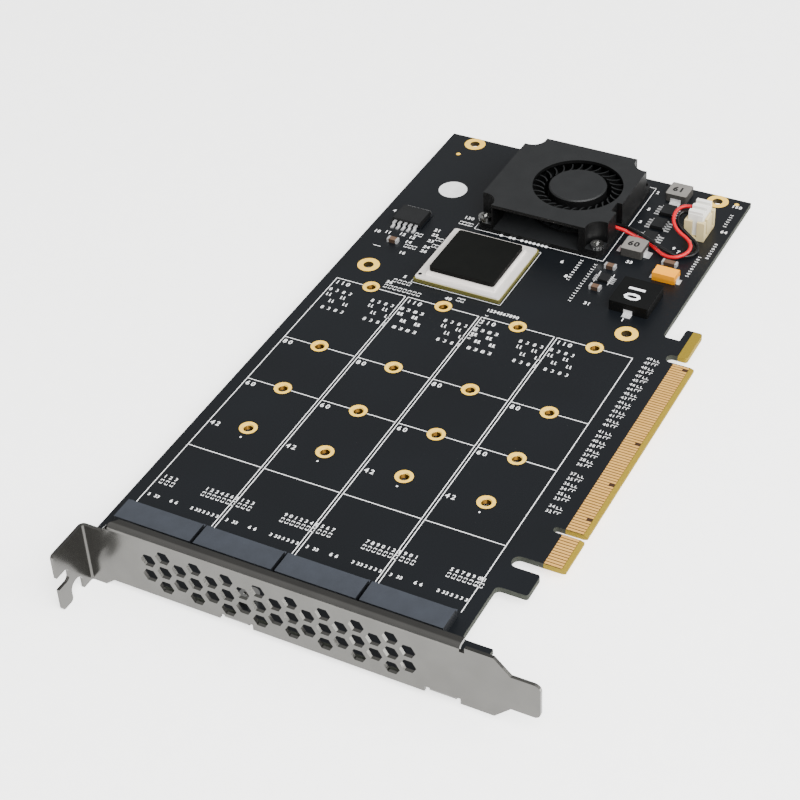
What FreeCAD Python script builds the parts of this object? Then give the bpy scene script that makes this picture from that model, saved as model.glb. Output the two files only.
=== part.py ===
import FreeCAD, Part
import math
import os
import re

import Sketcher
from FreeCAD import Vector

# A PCI Express adapter card that carries four M.2 drives beside a packet switch and a blower.
# Frame: X runs along the card from the bracket to the far end, with x = 0 on the centre of the
# key notch. Y runs up the card, with y = 0 on the insertion edge of the contacts. Z is up from
# the component face of the board, at z = 0. Millimetres.

SIZES = {
    # circuit board
    "board_thickness": 1.6, "board_far": 152.7, "board_near": 56.8, "board_top": 110.8,
    "board_shoulder": 12.8, "mask_skin": 0.05,
    "key_width": 1.9, "key_depth": 8.6,
    "short_edge": 12.1, "long_edge": 72.2, "bevel_length": 1.0, "bevel_depth": 0.4,
    "near_slot_width": 3.9, "near_slot_top": 13.2, "near_hook_width": 7.6, "near_hook_end": 4.75,
    "tail_slot_width": 3.2, "tail_slot_top": 8.5, "tail_neck_width": 6.6, "tail_head_width": 11.9,
    "tail_head_top": 7.9, "tail_head_end": 3.2, "front_tab_side": 42.3, "front_tab_end": 4.8,
    "corner_round": 0.8, "shoulder_round": 1.4, "round_spare": 0.01,
    # edge contacts
    "contact_pitch": 1.0, "contact_width": 0.7, "contact_start": 1.2, "contact_stop": 5.8,
    "contact_short_start": 2.7, "contact_from_key": 1.5,
    # plated mounting eyes for a heat spreader
    "eye_x": 79.0, "eye_y": 22.1, "eye_span_x": 70.5, "eye_span_y": 79.8,
    "eye_pad_radius": 3.25, "eye_bore_radius": 1.5, "eye_wall": 0.25,
    # drive positions
    "drive_datum": 40.3, "drive_first": 96.1, "drive_pitch": 22.86,
    "drive_length_a": 42.0, "drive_length_b": 60.0, "drive_length_c": 80.0,
    "drive_length_d": 110.0,
    "nut_flange_radius": 2.45, "nut_flange": 0.12, "nut_shank_radius": 1.95, "nut_bore_radius": 1.25,
    "nut_mouth_radius": 1.5, "nut_mouth_depth": 0.3,
    # drive sockets
    "socket_width": 21.9, "socket_back": 3.7, "socket_front": 3.0, "socket_height": 3.2,
    "socket_cheek": 0.85, "socket_cheek_reach": 0.9, "socket_slot_floor": 1.25,
    "socket_slot_height": 1.05, "socket_slot_depth": 4.2, "socket_rib_width": 1.2,
    "socket_rib_side": 6.125, "tail_pitch": 0.5, "tail_width": 0.22, "tail_length": 0.8,
    "tail_height": 0.18,
    # bracket
    "bracket_face": 58.3, "bracket_sheet": 0.9, "bracket_length": 120.02, "bracket_width": 18.42,
    "tongue_end": 14.25, "tongue_width": 10.19, "tongue_shoulder": 3.0, "tongue_slope": 4.1,
    "tongue_round": 1.7, "ear_length": 12.2, "ear_top": 13.1, "ear_bottom": 4.7,
    "ear_run": 6.0, "ear_foot_run": 5.0, "ear_slope": 2.6, "ear_round": 1.0,
    "screw_slot_width": 3.8, "screw_slot_depth": 4.4, "screw_slot_level": 4.1,
    "screw_slot_round": 1.3, "key_bay_width": 4.6, "key_bay_depth": 4.9, "key_bay_offset": 3.4,
    "key_bay_round": 2.2, "lip_width": 3.0, "lip_start": 8.2, "lip_stop": 19.5,
    "lip_chamfer": 1.9, "bend_radius": 0.6, "foot_round": 1.0,
    "relief_width": 1.3, "relief_depth": 1.6, "lip_relief_width": 0.5,
    "foot_width": 6.4, "foot_length": 9.0, "foot_upper": 63.7, "foot_lower": 9.8,
    "foot_screw_reach": 6.35,
    "vent_flats": 3.55, "vent_pitch_z": 4.77, "vent_pitch_y": 4.29, "vent_first": 86.8,
    "vent_level": 6.2,
    # screws
    "screw_radius": 1.45, "screw_head_radius": 2.6, "screw_head": 1.5, "screw_clearance": 0.15,
    "screw_recess_width": 0.7, "screw_recess_depth": 0.8, "screw_recess_share": 1.2,
    "blower_screw_head_radius": 1.9, "blower_screw_head": 1.3,
    # packet switch, beside the blower
    "chip_clearance": 4.05, "chip_y": 73.0, "chip_size": 27.0, "chip_substrate": 1.1,
    "chip_lid": 0.45, "chip_lid_margin": 0.25, "chip_step_size": 21.6, "chip_step": 0.9,
    "chip_step_taper": 20, "chip_round": 0.8,
    "pad_size": 20.2, "pad_thickness": 1.4, "pad_round": 0.8,
    # blower
    "blower_far_gap": 5.2, "blower_low_edge": 42.1, "blower_size": 39.4, "blower_height": 9.6,
    "blower_cover": 1.0, "blower_floor": 1.2, "blower_wall": 1.2, "blower_notch_radius": 4.1,
    "blower_notch_inset": 1.0, "blower_ear": 2.6, "blower_ear_radius": 2.2,
    "blower_hole_inset": 1.95, "blower_hole_radius": 1.25,
    "outlet_low": 12.7, "outlet_high": 14.4, "rotor_offset": 4.0, "rotor_side_gap": 0.8,
    "wire_notch_inset": 26.1, "wire_notch_width": 4.6, "wire_notch_depth": 1.6,
    "hub_radius": 8.5, "hub_wall": 1.0, "hub_round": 0.35,
    "rotor_disc": 0.7, "rotor_gap": 0.5, "blade_count": 29, "blade_root": 9.9, "blade_inset": 0.4,
    "blade_thickness": 0.4, "blade_arc_radius": 4.6, "blade_centre_out": 13.6,
    "blade_centre_side": 2.7, "blade_gap": 0.4,
    "shaft_radius": 1.0, "shaft_clearance": 0.08, "shaft_end_gap": 0.2, "bearing_wall": 0.9,
    "tube_wall": 0.6, "tube_gap": 0.8,
    "magnet_thickness": 1.0, "magnet_height": 4.2, "stator_gap": 0.4, "stator_core_wall": 1.3,
    "stator_arm": 2.4, "stator_start": 3.6, "stator_height": 3.0, "coil_wrap": 0.55,
    "coil_setback": 0.4, "motor_board": 0.5, "motor_board_radius": 6.9, "motor_board_gap": 0.1,
    # fan lead, header and plug
    "wire_radius": 0.55, "header_x": 132.55, "header_y": 21.55, "header_length": 9.1,
    "header_width": 6.1, "header_height": 6.2, "header_wall": 0.8, "header_floor": 1.2,
    "header_slot": 1.5, "header_slot_base": 0.8, "header_side_slot": 1.0,
    "header_pin": 0.64, "header_pin_pitch": 2.5, "header_pin_top": 4.8, "pin_clearance": 0.08,
    "header_tab_reach": 1.0, "header_tab_width": 2.2, "header_tab": 0.3,
    "plug_gap": 0.05, "plug_height": 8.2, "plug_rib": 1.3, "plug_rib_height": 0.9,
    "plug_rib_gap": 1.6,
    # parts of the power supply
    "coil_large_x": 93.4, "coil_large_y": 25.2, "coil_large_length": 12.2, "coil_large_width": 11.6,
    "coil_large_height": 3.3, "coil_large_terminal": 2.6, "coil_round": 0.5,
    "coil_small_size": 6.5, "coil_small_height": 2.8, "coil_small_terminal": 3.2,
    "coil_a_x": 115.7, "coil_a_y": 34.7, "coil_b_x": 147.0, "coil_b_y": 33.2,
    "terminal_sheet": 0.15, "terminal_pad": 0.9, "terminal_rise": 1.4, "terminal_tuck": 1.2,
    "body_gap": 0.1,
    "tantalum_x": 107.0, "tantalum_y": 21.8, "tantalum_length": 7.0, "tantalum_width": 4.3,
    "tantalum_height": 2.7, "tantalum_waist": 1.3, "tantalum_terminal": 2.4, "mould_draft": 5,
    "regulator_x": 104.7, "regulator_y": 101.0, "regulator_length": 7.4, "regulator_width": 8.9,
    "regulator_height": 1.9, "regulator_pitch": 1.72, "regulator_lead": 0.8,
    "regulator_reach": 2.9, "regulator_foot": 1.4, "regulator_sheet": 0.4, "regulator_tab": 1.2,
    "regulator_tab_width": 7.6, "lead_sheet": 0.18, "lead_foot": 0.45,
    "switcher_x": 138.3, "switcher_y": 33.3, "switcher_step": 7.4, "switcher_length": 4.9,
    "switcher_width": 3.8, "switcher_height": 1.3, "switcher_pitch": 1.27, "switcher_lead": 0.42,
    "switcher_reach": 0.95,
    "sensor_x": 99.9, "sensor_y": 37.4, "sensor_length": 3.4, "sensor_width": 3.1,
    "sensor_height": 0.9, "sensor_pitch": 0.8, "sensor_lead": 0.35, "sensor_reach": 0.7,
    "ceramic_length": 3.3, "ceramic_width": 1.7, "ceramic_height": 1.2, "ceramic_end": 0.6,
    "ceramic_long": 4.5, "ceramic_a_x": 105.6, "ceramic_a_y": 38.0, "ceramic_b_x": 94.6,
    "ceramic_b_y": 38.0, "ceramic_c_x": 113.7, "ceramic_c_y": 23.2, "ceramic_d_x": 92.2,
    "ceramic_d_y": 100.8,
    "label_x": 123.7, "label_y": 96.85, "label_radius": 4.3, "label_thickness": 0.08,
}

# What follows from the sizes above: the blower stands a gap from the board's far end, the switch
# a clearance from the blower, and the rotor fills the chamber.
DERIVED = {
    "blower_x": "=board_far - blower_far_gap - blower_size / 2",
    "blower_y": "=blower_low_edge + blower_size / 2",
    "blower_notch_offset": "=blower_size / 2 - blower_notch_inset",
    "blower_hole_offset": "=blower_size / 2 - blower_hole_inset",
    "blower_chamber_radius": "=blower_size / 2 - blower_wall",
    "wire_notch_x": "=blower_x + blower_size / 2 - wire_notch_inset",
    "rotor_radius": "=blower_chamber_radius - rotor_offset - rotor_side_gap",
    "blade_tip": "=rotor_radius - blade_inset",
    "inlet_radius": "=blade_tip",
    "chip_x": "=blower_x - blower_size / 2 - chip_clearance - chip_size / 2",
}

doc = FreeCAD.newDocument("drive_adapter_card")
sheet = doc.addObject("Spreadsheet::Sheet", "sizes")
NAMED = SIZES | DERIVED
for row, (alias, value) in enumerate(NAMED.items(), start=1):
    sheet.set(f"A{row}", alias)
    sheet.set(f"B{row}", str(value))
    sheet.setAlias(f"B{row}", alias)
doc.recompute()

nodes = []


def cell(text):
    """The text of a formula with each size's name pointed at its cell."""
    return re.sub(r"[a-z][a-z_]+", lambda word: f"sizes.{word.group()}" if word.group() in NAMED
                  else word.group(), str(text))


def number(text):
    """The present value of a formula of sizes."""
    return float(sheet.evalExpression(cell(text)))


def bind(thing, **formulas):
    for name, formula in formulas.items():
        thing.setExpression(name.replace("__", "."), cell(formula))
    return thing


def place(thing, x, y, z):
    return bind(thing, Placement__Base__x=x, Placement__Base__y=y, Placement__Base__z=z)


def span(low, high):
    return f"({high}) - ({low})"


def box(name, x, y, z):
    """A block between the two formulas given for each axis."""
    block = doc.addObject("Part::Box", name)
    bind(block, Length=span(*x), Width=span(*y), Height=span(*z))
    return place(block, x[0], y[0], z[0])


def centred(name, x, y, length, width, z):
    """A block centred on x and y."""
    return box(name, (f"{x} - ({length}) / 2", f"{x} + ({length}) / 2"),
               (f"{y} - ({width}) / 2", f"{y} + ({width}) / 2"), z)


def rod(name, x, y, radius, z):
    """An upright cylinder."""
    cylinder = doc.addObject("Part::Cylinder", name)
    bind(cylinder, Radius=radius, Height=span(*z))
    return place(cylinder, x, y, z[0])


def fuse(name, pieces):
    union = doc.addObject("Part::MultiFuse", name)
    union.Shapes = pieces
    return union


def cut(name, base, tools):
    tool = tools[0] if len(tools) == 1 else fuse(name + "_tools", tools)
    result = doc.addObject("Part::Cut", name)
    result.Base = base
    result.Tool = tool
    return result


def group(name, pieces):
    """Separate solids that share one node."""
    compound = doc.addObject("Part::Compound", name)
    compound.Links = pieces
    return compound


def keep(thing, label):
    """Make the object the sub-part of that name."""
    thing.Label = label
    nodes.append(thing)
    return thing


def new_body(name):
    return doc.addObject("PartDesign::Body", name)


def sketch_on(body, plane, name, offset=None):
    drawing = body.newObject("Sketcher::SketchObject", name)
    support = next(item for item in body.Origin.OriginFeatures if item.Role == plane)
    drawing.AttachmentSupport = [(support, "")]
    drawing.MapMode = "FlatFace"
    if offset is not None:
        drawing.setExpression("AttachmentOffset.Base.z", cell(offset))
    return drawing


def pin_point(drawing, geometry, point, formulas):
    """Hold a point of the sketch at two formulas, measured from the sketch's origin."""
    for kind, formula in zip(("DistanceX", "DistanceY"), formulas):
        index = drawing.addConstraint(
            Sketcher.Constraint(kind, -1, 1, geometry, point, number(formula)))
        drawing.setExpression(f"Constraints[{index}]", cell(formula))


def draw_outline(drawing, corners):
    """A closed polygon whose corners are pairs of formulas."""
    spots = [Vector(number(x), number(y), 0) for x, y in corners]
    first = drawing.GeometryCount
    count = len(corners)
    for start, stop in zip(spots, spots[1:] + spots[:1]):
        drawing.addGeometry(Part.LineSegment(start, stop))
    for side in range(count):
        drawing.addConstraint(Sketcher.Constraint(
            "Coincident", first + side, 2, first + (side + 1) % count, 1))
        pin_point(drawing, first + side, 1, corners[side])


def draw_circle(drawing, x, y, radius):
    circle = drawing.addGeometry(Part.Circle(Vector(number(x), number(y), 0), Vector(0, 0, 1),
                                             number(radius)))
    pin_point(drawing, circle, 3, (x, y))
    index = drawing.addConstraint(Sketcher.Constraint("Radius", circle, number(radius)))
    drawing.setExpression(f"Constraints[{index}]", cell(radius))


def pad(body, drawing, name, length, reverse=False):
    feature = body.newObject("PartDesign::Pad", name)
    feature.Profile = drawing
    feature.Reversed = reverse
    feature.setExpression("Length", cell(length))
    return feature


def pocket_through(body, drawing, name):
    feature = body.newObject("PartDesign::Pocket", name)
    feature.Profile = drawing
    feature.Type = "ThroughAll"
    feature.Midplane = True
    return feature


def edges_at(shape, spots, axis, reach=(-1e6, 1e6)):
    """Names of the straight edges along an axis, at the given spots and within a reach."""
    flat = [index for index in range(3) if index != axis]
    names = []
    for index, edge in enumerate(shape.Edges, start=1):
        ends = [vertex.Point for vertex in edge.Vertexes]
        if len(ends) != 2 or (ends[1] - ends[0]).Length < 1e-6:
            continue
        along = abs((ends[1] - ends[0]).normalize()[axis])
        middle = (ends[0][axis] + ends[1][axis]) / 2
        if along < 0.9999 or not reach[0] < middle < reach[1]:
            continue
        for spot in spots:
            if all(abs(ends[0][side] - value) < 1e-4 for side, value in zip(flat, spot)):
                names.append(f"Edge{index}")
    return names


def round_edges(body, base, name, spots, radius, axis=2, reach=("0 - 1000", "1000")):
    """Round the body's edges along an axis that stand at pairs of formulas."""
    doc.recompute()
    places = [(number(first), number(second)) for first, second in spots]
    limits = (number(reach[0]), number(reach[1]))
    feature = body.newObject("PartDesign::Fillet", name)
    feature.Base = (base, edges_at(base.Shape, places, axis, limits))
    feature.setExpression("Radius", cell(radius))
    return feature


# ---------------------------------------------------------------- positions shared by the parts

DRIVE_ROWS = [f"drive_first - {index} * drive_pitch" for index in range(4)]
DRIVE_STOPS = [f"drive_length_{letter} - drive_datum" for letter in "abcd"]
EYES = [(f"eye_x + {i} * eye_span_x", f"eye_y + {j} * eye_span_y") for i in (0, 1) for j in (0, 1)]
FEET = ["foot_upper", "foot_lower"]
FOOT_SCREW_X = "foot_screw_reach - bracket_face"
BLOWER_HOLES = [(f"blower_x - blower_hole_offset", f"blower_y {sign} blower_hole_offset")
                for sign in "+-"]
BOARD_BOTTOM = "0 - board_thickness"
ROTOR_Y = "blower_y - rotor_offset"


def make_board():
    """Routed laminate: one outline, then the drilled holes and the bevelled contact edge."""
    body = new_body("board_body")
    outline = sketch_on(body, "XY_Plane", "board_outline")
    draw_outline(outline, [
        ("0 - board_near", "board_top"), ("board_far", "board_top"),
        ("board_far", "board_shoulder"),
        ("long_edge + tail_slot_width + tail_neck_width", "board_shoulder"),
        ("long_edge + tail_slot_width + tail_neck_width", "tail_head_top"),
        ("long_edge + tail_slot_width + tail_head_width", "tail_head_top"),
        ("long_edge + tail_slot_width + tail_head_width", "tail_head_end"),
        ("long_edge + tail_slot_width", "tail_head_end"),
        ("long_edge + tail_slot_width", "tail_slot_top"), ("long_edge", "tail_slot_top"),
        ("long_edge", "0"), ("key_width / 2", "0"), ("key_width / 2", "key_depth"),
        ("0 - key_width / 2", "key_depth"), ("0 - key_width / 2", "0"), ("0 - short_edge", "0"),
        ("0 - short_edge", "near_slot_top"), ("0 - short_edge - near_slot_width", "near_slot_top"),
        ("0 - short_edge - near_slot_width", "near_hook_end"),
        ("0 - short_edge - near_slot_width - near_hook_width", "near_hook_end"),
        ("0 - short_edge - near_slot_width - near_hook_width", "board_shoulder"),
        ("0 - front_tab_side", "board_shoulder"), ("0 - front_tab_side", "front_tab_end"),
        ("0 - board_near", "front_tab_end")])
    board = pad(body, outline, "board_blank", "board_thickness", reverse=True)
    holes = sketch_on(body, "XY_Plane", "board_holes")
    for y in DRIVE_ROWS:
        for x in DRIVE_STOPS:
            draw_circle(holes, x, y, "nut_shank_radius")
    for x, y in EYES:
        draw_circle(holes, x, y, "eye_bore_radius + eye_wall")
    for y in FEET:
        draw_circle(holes, FOOT_SCREW_X, y, "screw_radius + screw_clearance")
    for x, y in BLOWER_HOLES:
        draw_circle(holes, x, y, "blower_hole_radius")
    board = pocket_through(body, holes, "drilled_holes")
    # Each slot ends in the round that the router leaves.
    for name, low, high, top in [
            ("key_round", "0 - key_width / 2", "key_width / 2", "key_depth"),
            ("tail_slot_round", "long_edge", "long_edge + tail_slot_width", "tail_slot_top"),
            ("near_slot_round", "0 - short_edge - near_slot_width", "0 - short_edge",
             "near_slot_top")]:
        board = round_edges(body, board, name, [(low, top), (high, top)],
                            f"({high} - ({low})) / 2 - round_spare")
    board = round_edges(body, board, "shoulder_rounds", [
        ("long_edge + tail_slot_width + tail_neck_width", "board_shoulder"),
        ("0 - short_edge - near_slot_width - near_hook_width", "board_shoulder"),
        ("0 - front_tab_side", "board_shoulder")], "shoulder_round")
    board = round_edges(body, board, "corner_rounds", [
        ("long_edge + tail_slot_width + tail_head_width", "tail_head_end"),
        ("long_edge + tail_slot_width", "tail_head_end"),
        ("long_edge + tail_slot_width + tail_head_width", "tail_head_top"),
        ("0 - short_edge - near_slot_width", "near_hook_end"),
        ("0 - short_edge - near_slot_width - near_hook_width", "near_hook_end")],
        "corner_round")
    bevel = sketch_on(body, "YZ_Plane", "bevel_profile")
    draw_outline(bevel, [("0", "0"), ("bevel_length", "0"), ("0", "0 - bevel_depth")])
    draw_outline(bevel, [("0", BOARD_BOTTOM), ("0", "bevel_depth - board_thickness"),
                         ("bevel_length", BOARD_BOTTOM)])
    pocket_through(body, bevel, "bevel")
    keep(body, "circuit_board")


BEFORE_KEY, AFTER_KEY = 11, 71
SHORT_CONTACTS = {17, 31, 48, 81}


def make_contacts():
    """Gold contacts on both faces, before and after the key; a few on top are short."""
    places = [f"({index - BEFORE_KEY + 1}) * contact_pitch - contact_from_key"
              for index in range(BEFORE_KEY)]
    places += [f"{index} * contact_pitch + contact_from_key" for index in range(AFTER_KEY)]
    for side, low in (("top", "0"), ("bottom", "0 - board_thickness - mask_skin")):
        pieces = []
        for position, centre in enumerate(places, start=1):
            start = ("contact_short_start" if side == "top" and position in SHORT_CONTACTS
                     else "contact_start")
            pieces.append(box(f"contact_{side}_{position}",
                              (f"{centre} - contact_width / 2", f"{centre} + contact_width / 2"),
                              (start, "contact_stop"), (low, f"{low} + mask_skin")))
        keep(group(f"contacts_{side}", pieces), f"edge_contacts_{side}")


def make_eyes():
    """Plated eyes for the heat spreader's screws: a barrel with a gold land on each face."""
    pieces = []
    for index, (x, y) in enumerate(EYES):
        lands = [rod(f"eye_land_{side}_{index}", x, y, "eye_pad_radius", (low, f"{low} + mask_skin"))
                 for side, low in (("top", "0"), ("bottom", "0 - board_thickness - mask_skin"))]
        barrel = rod(f"eye_barrel_{index}", x, y, "eye_bore_radius + eye_wall", (BOARD_BOTTOM, "0"))
        bore = rod(f"eye_bore_{index}", x, y, "eye_bore_radius",
                   ("0 - board_thickness - 1", "1"))
        pieces.append(cut(f"eye_{index}", fuse(f"eye_blank_{index}", lands + [barrel]), [bore]))
    keep(group("eyes", pieces), "mounting_eyes")


def make_drive_nuts():
    """Pressed brass nuts that take the screw of a 42, 60, 80 or 110 mm drive."""
    pieces = []
    for row, y in enumerate(DRIVE_ROWS):
        for stop, x in enumerate(DRIVE_STOPS):
            tag = f"{row}_{stop}"
            flange = rod(f"nut_flange_{tag}", x, y, "nut_flange_radius", ("0", "nut_flange"))
            shank = rod(f"nut_shank_{tag}", x, y, "nut_shank_radius", (BOARD_BOTTOM, "0"))
            bore = rod(f"nut_bore_{tag}", x, y, "nut_bore_radius",
                       ("0 - board_thickness - 1", "1"))
            mouth = doc.addObject("Part::Cone", f"nut_mouth_{tag}")
            bind(mouth, Radius1="nut_bore_radius", Radius2="nut_mouth_radius",
                 Height="nut_mouth_depth")
            place(mouth, x, y, "nut_flange - nut_mouth_depth")
            pieces.append(cut(f"nut_{tag}", fuse(f"nut_blank_{tag}", [flange, shank]),
                              [bore, mouth]))
    keep(group("nuts", pieces), "drive_screw_nuts")


# Tails alternate between the two sides; the key takes the place of eight.
TAILS = 75
KEY_TAILS = range(58, 66)


def make_sockets():
    """Four M-key sockets: moulded housings with a keyed slot, and their rows of tails."""
    back, front = "0 - drive_datum - socket_back", "socket_front - drive_datum"
    for index, y in enumerate(DRIVE_ROWS):
        low, high = f"{y} - socket_width / 2", f"{y} + socket_width / 2"
        shell = box(f"socket_shell_{index}", (back, front), (low, high), ("0", "socket_height"))
        cheeks = [box(f"socket_cheek_{side}_{index}", (front, f"{front} + socket_cheek_reach"),
                      edge, ("0", "socket_slot_floor + socket_slot_height"))
                  for side, edge in enumerate([(low, f"{low} + socket_cheek"),
                                               (f"{high} - socket_cheek", high)])]
        slot = ("socket_slot_floor", "socket_slot_floor + socket_slot_height")
        deep = (f"{front} - socket_slot_depth", f"{front} + 1")
        rib_low = f"{y} + socket_rib_side - socket_rib_width / 2"
        rib_high = f"{y} + socket_rib_side + socket_rib_width / 2"
        slots = [box(f"socket_slot_a_{index}", deep, (f"{low} + socket_cheek", rib_low), slot),
                 box(f"socket_slot_b_{index}", deep, (rib_high, f"{high} - socket_cheek"), slot)]
        housing = cut(f"socket_{index}", fuse(f"socket_blank_{index}", [shell] + cheeks), slots)
        keep(housing, f"drive_socket_{index + 1}")
        tails = []
        for tail in range(TAILS):
            if tail in KEY_TAILS:
                continue
            to_back = tail % 2
            reach = ((f"{back} - tail_length", back) if to_back
                     else (front, f"{front} + tail_length"))
            centre = f"{y} + ({tail - TAILS // 2}) * tail_pitch / 2"
            tails.append(box(f"tail_{index}_{tail}", reach,
                             (f"{centre} - tail_width / 2", f"{centre} + tail_width / 2"),
                             ("0", "tail_height")))
        keep(group(f"tails_{index}", tails), f"drive_socket_tails_{index + 1}")


BRACKET_LOW = "0 - board_thickness - bracket_sheet"
BRACKET_HIGH = "bracket_width - board_thickness - bracket_sheet"
BRACKET_MIDDLE = "bracket_width / 2 - board_thickness - bracket_sheet"
BRACKET_TOP = "bracket_length - tongue_end"
FACE_OUT = "0 - bracket_face"
FACE_IN = "bracket_sheet - bracket_face"


VENT_COLUMNS = 17


def make_bracket():
    """Folded sheet: face with tongue, screw ear, stiffening lip, two feet and honeycomb vents."""
    body = new_body("bracket_body")
    blank = sketch_on(body, "YZ_Plane", "bracket_outline", FACE_OUT)
    slope_end = "0 - tongue_shoulder - tongue_slope"
    draw_outline(blank, [
        (BRACKET_TOP, "ear_top"), (f"{BRACKET_TOP} - ear_run", "ear_top"),
        (f"{BRACKET_TOP} - lip_start", BRACKET_HIGH), ("0 - tongue_shoulder", BRACKET_HIGH),
        (slope_end, f"{BRACKET_MIDDLE} + tongue_width / 2"),
        ("0 - tongue_end", f"{BRACKET_MIDDLE} + tongue_width / 2"),
        ("0 - tongue_end", f"{BRACKET_MIDDLE} - tongue_width / 2"),
        (slope_end, f"{BRACKET_MIDDLE} - tongue_width / 2"),
        ("0 - tongue_shoulder", BRACKET_LOW),
        (f"{BRACKET_TOP} - ear_foot_run - ear_slope", BRACKET_LOW),
        (f"{BRACKET_TOP} - ear_foot_run", "0 - ear_bottom"), (BRACKET_TOP, "0 - ear_bottom")])
    shape = pad(body, blank, "bracket_face", "bracket_sheet")

    reliefs = sketch_on(body, "YZ_Plane", "relief_profile", FACE_OUT)
    lip_stop = "lip_stop - tongue_end"
    lip_begin = f"{BRACKET_TOP} - lip_start"
    notches = [(f"{lip_stop} - relief_width", lip_stop, BRACKET_HIGH, "0 - relief_depth"),
               (lip_begin, f"{lip_begin} + lip_relief_width", BRACKET_HIGH, "0 - relief_depth")]
    for y in FEET:
        for low, high in [(f"{y} - foot_width / 2 - relief_width", f"{y} - foot_width / 2"),
                          (f"{y} + foot_width / 2", f"{y} + foot_width / 2 + relief_width")]:
            notches.append((low, high, BRACKET_LOW, "relief_depth"))
    for low, high, edge, depth in notches:
        draw_outline(reliefs, [(low, f"{edge} - 2 * ({depth})"), (high, f"{edge} - 2 * ({depth})"),
                               (high, f"{edge} + {depth}"), (low, f"{edge} + {depth}")])
    shape = pocket_through(body, reliefs, "bend_reliefs")

    lip = sketch_on(body, "XY_Plane", "lip_outline", f"{BRACKET_HIGH} - bracket_sheet")
    draw_outline(lip, [
        (FACE_OUT, lip_begin), (FACE_IN, lip_begin),
        ("lip_width - bracket_face", f"{lip_begin} - lip_chamfer"),
        ("lip_width - bracket_face", lip_stop), (FACE_OUT, lip_stop)])
    shape = pad(body, lip, "lip", "bracket_sheet")
    feet = sketch_on(body, "XY_Plane", "feet_outline", BOARD_BOTTOM)
    for y in FEET:
        low, high = f"{y} - foot_width / 2", f"{y} + foot_width / 2"
        draw_outline(feet, [(FACE_OUT, low), ("foot_length - bracket_face", low),
                            ("foot_length - bracket_face", high), (FACE_OUT, high)])
    shape = pad(body, feet, "feet", "bracket_sheet", reverse=True)

    ear = sketch_on(body, "XZ_Plane", "ear_outline", f"0 - ({BRACKET_TOP})")
    end, bay = "0 - bracket_face - ear_length", "0 - bracket_face - key_bay_offset"
    slot_low = "screw_slot_level - screw_slot_width / 2"
    slot_high = "screw_slot_level + screw_slot_width / 2"
    draw_outline(ear, [
        (FACE_IN, "ear_top"), (end, "ear_top"), (end, slot_high),
        (f"{end} + screw_slot_depth", slot_high), (f"{end} + screw_slot_depth", slot_low),
        (end, slot_low), (end, "0 - ear_bottom"), (f"{bay} - key_bay_width", "0 - ear_bottom"),
        (f"{bay} - key_bay_width", "key_bay_depth - ear_bottom"),
        (bay, "key_bay_depth - ear_bottom"), (bay, "0 - ear_bottom"), (FACE_IN, "0 - ear_bottom")])
    shape = pad(body, ear, "ear", "bracket_sheet")

    lip_reach = (lip_stop, lip_begin)
    inside, outside = "bend_radius", "bend_radius + bracket_sheet"
    shape = round_edges(body, shape, "fold_outside", [(FACE_IN, BRACKET_TOP)], outside)
    shape = round_edges(body, shape, "fold_inside", [(FACE_OUT, f"{BRACKET_TOP} - bracket_sheet")],
                        inside)
    shape = round_edges(body, shape, "lip_outside", [(FACE_OUT, BRACKET_HIGH)], outside, 1,
                        lip_reach)
    shape = round_edges(body, shape, "lip_inside", [(FACE_IN, f"{BRACKET_HIGH} - bracket_sheet")],
                        inside, 1, lip_reach)
    for label, y in zip(("upper", "lower"), FEET):
        foot_reach = (f"{y} - foot_width / 2", f"{y} + foot_width / 2")
        shape = round_edges(body, shape, f"{label}_foot_outside", [(FACE_OUT, BRACKET_LOW)],
                            outside, 1, foot_reach)
        shape = round_edges(body, shape, f"{label}_foot_inside", [(FACE_IN, BOARD_BOTTOM)],
                            inside, 1, foot_reach)
        shape = round_edges(body, shape, f"{label}_foot_corners", [
            ("foot_length - bracket_face", foot_reach[0]),
            ("foot_length - bracket_face", foot_reach[1])], "foot_round")
    shape = round_edges(body, shape, "tongue_rounds", [
        ("0 - tongue_end", f"{BRACKET_MIDDLE} + tongue_width / 2"),
        ("0 - tongue_end", f"{BRACKET_MIDDLE} - tongue_width / 2")], "tongue_round", 0)
    shape = round_edges(body, shape, "ear_rounds", [
        (end, "ear_top"), (end, "0 - ear_bottom"),
        (f"{bay} - key_bay_width", "0 - ear_bottom")], "ear_round", 1)
    shape = round_edges(body, shape, "screw_slot_rounds", [
        (f"{end} + screw_slot_depth", slot_high), (f"{end} + screw_slot_depth", slot_low)],
        "screw_slot_round", 1)
    round_edges(body, shape, "key_bay_rounds", [
        (f"{bay} - key_bay_width", "key_bay_depth - ear_bottom"),
        (bay, "key_bay_depth - ear_bottom")], "key_bay_round", 1)

    tools = [rod(f"foot_thread_{index}", FOOT_SCREW_X, y, "screw_radius",
                 (f"{BRACKET_LOW} - 1", "0")) for index, y in enumerate(FEET)]
    turn = FreeCAD.Rotation(Vector(0, 1, 0), 90) * FreeCAD.Rotation(Vector(0, 0, 1), 30)
    for column in range(VENT_COLUMNS):
        levels = (-0.5, 0.5) if column % 2 == 0 else (-1, 0, 1)
        for level in levels:
            vent = doc.addObject("Part::Prism", f"vent_{column}")
            vent.Polygon = 6
            vent.Placement = FreeCAD.Placement(Vector(), turn)
            bind(vent, Circumradius="vent_flats / sqrt(3)", Height="3 * bracket_sheet")
            place(vent, "0 - bracket_face - bracket_sheet", f"vent_first - {column} * vent_pitch_y",
                  f"vent_level + ({level}) * vent_pitch_z")
            tools.append(vent)
    keep(cut("bracket", body, tools), "mounting_bracket")


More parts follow.
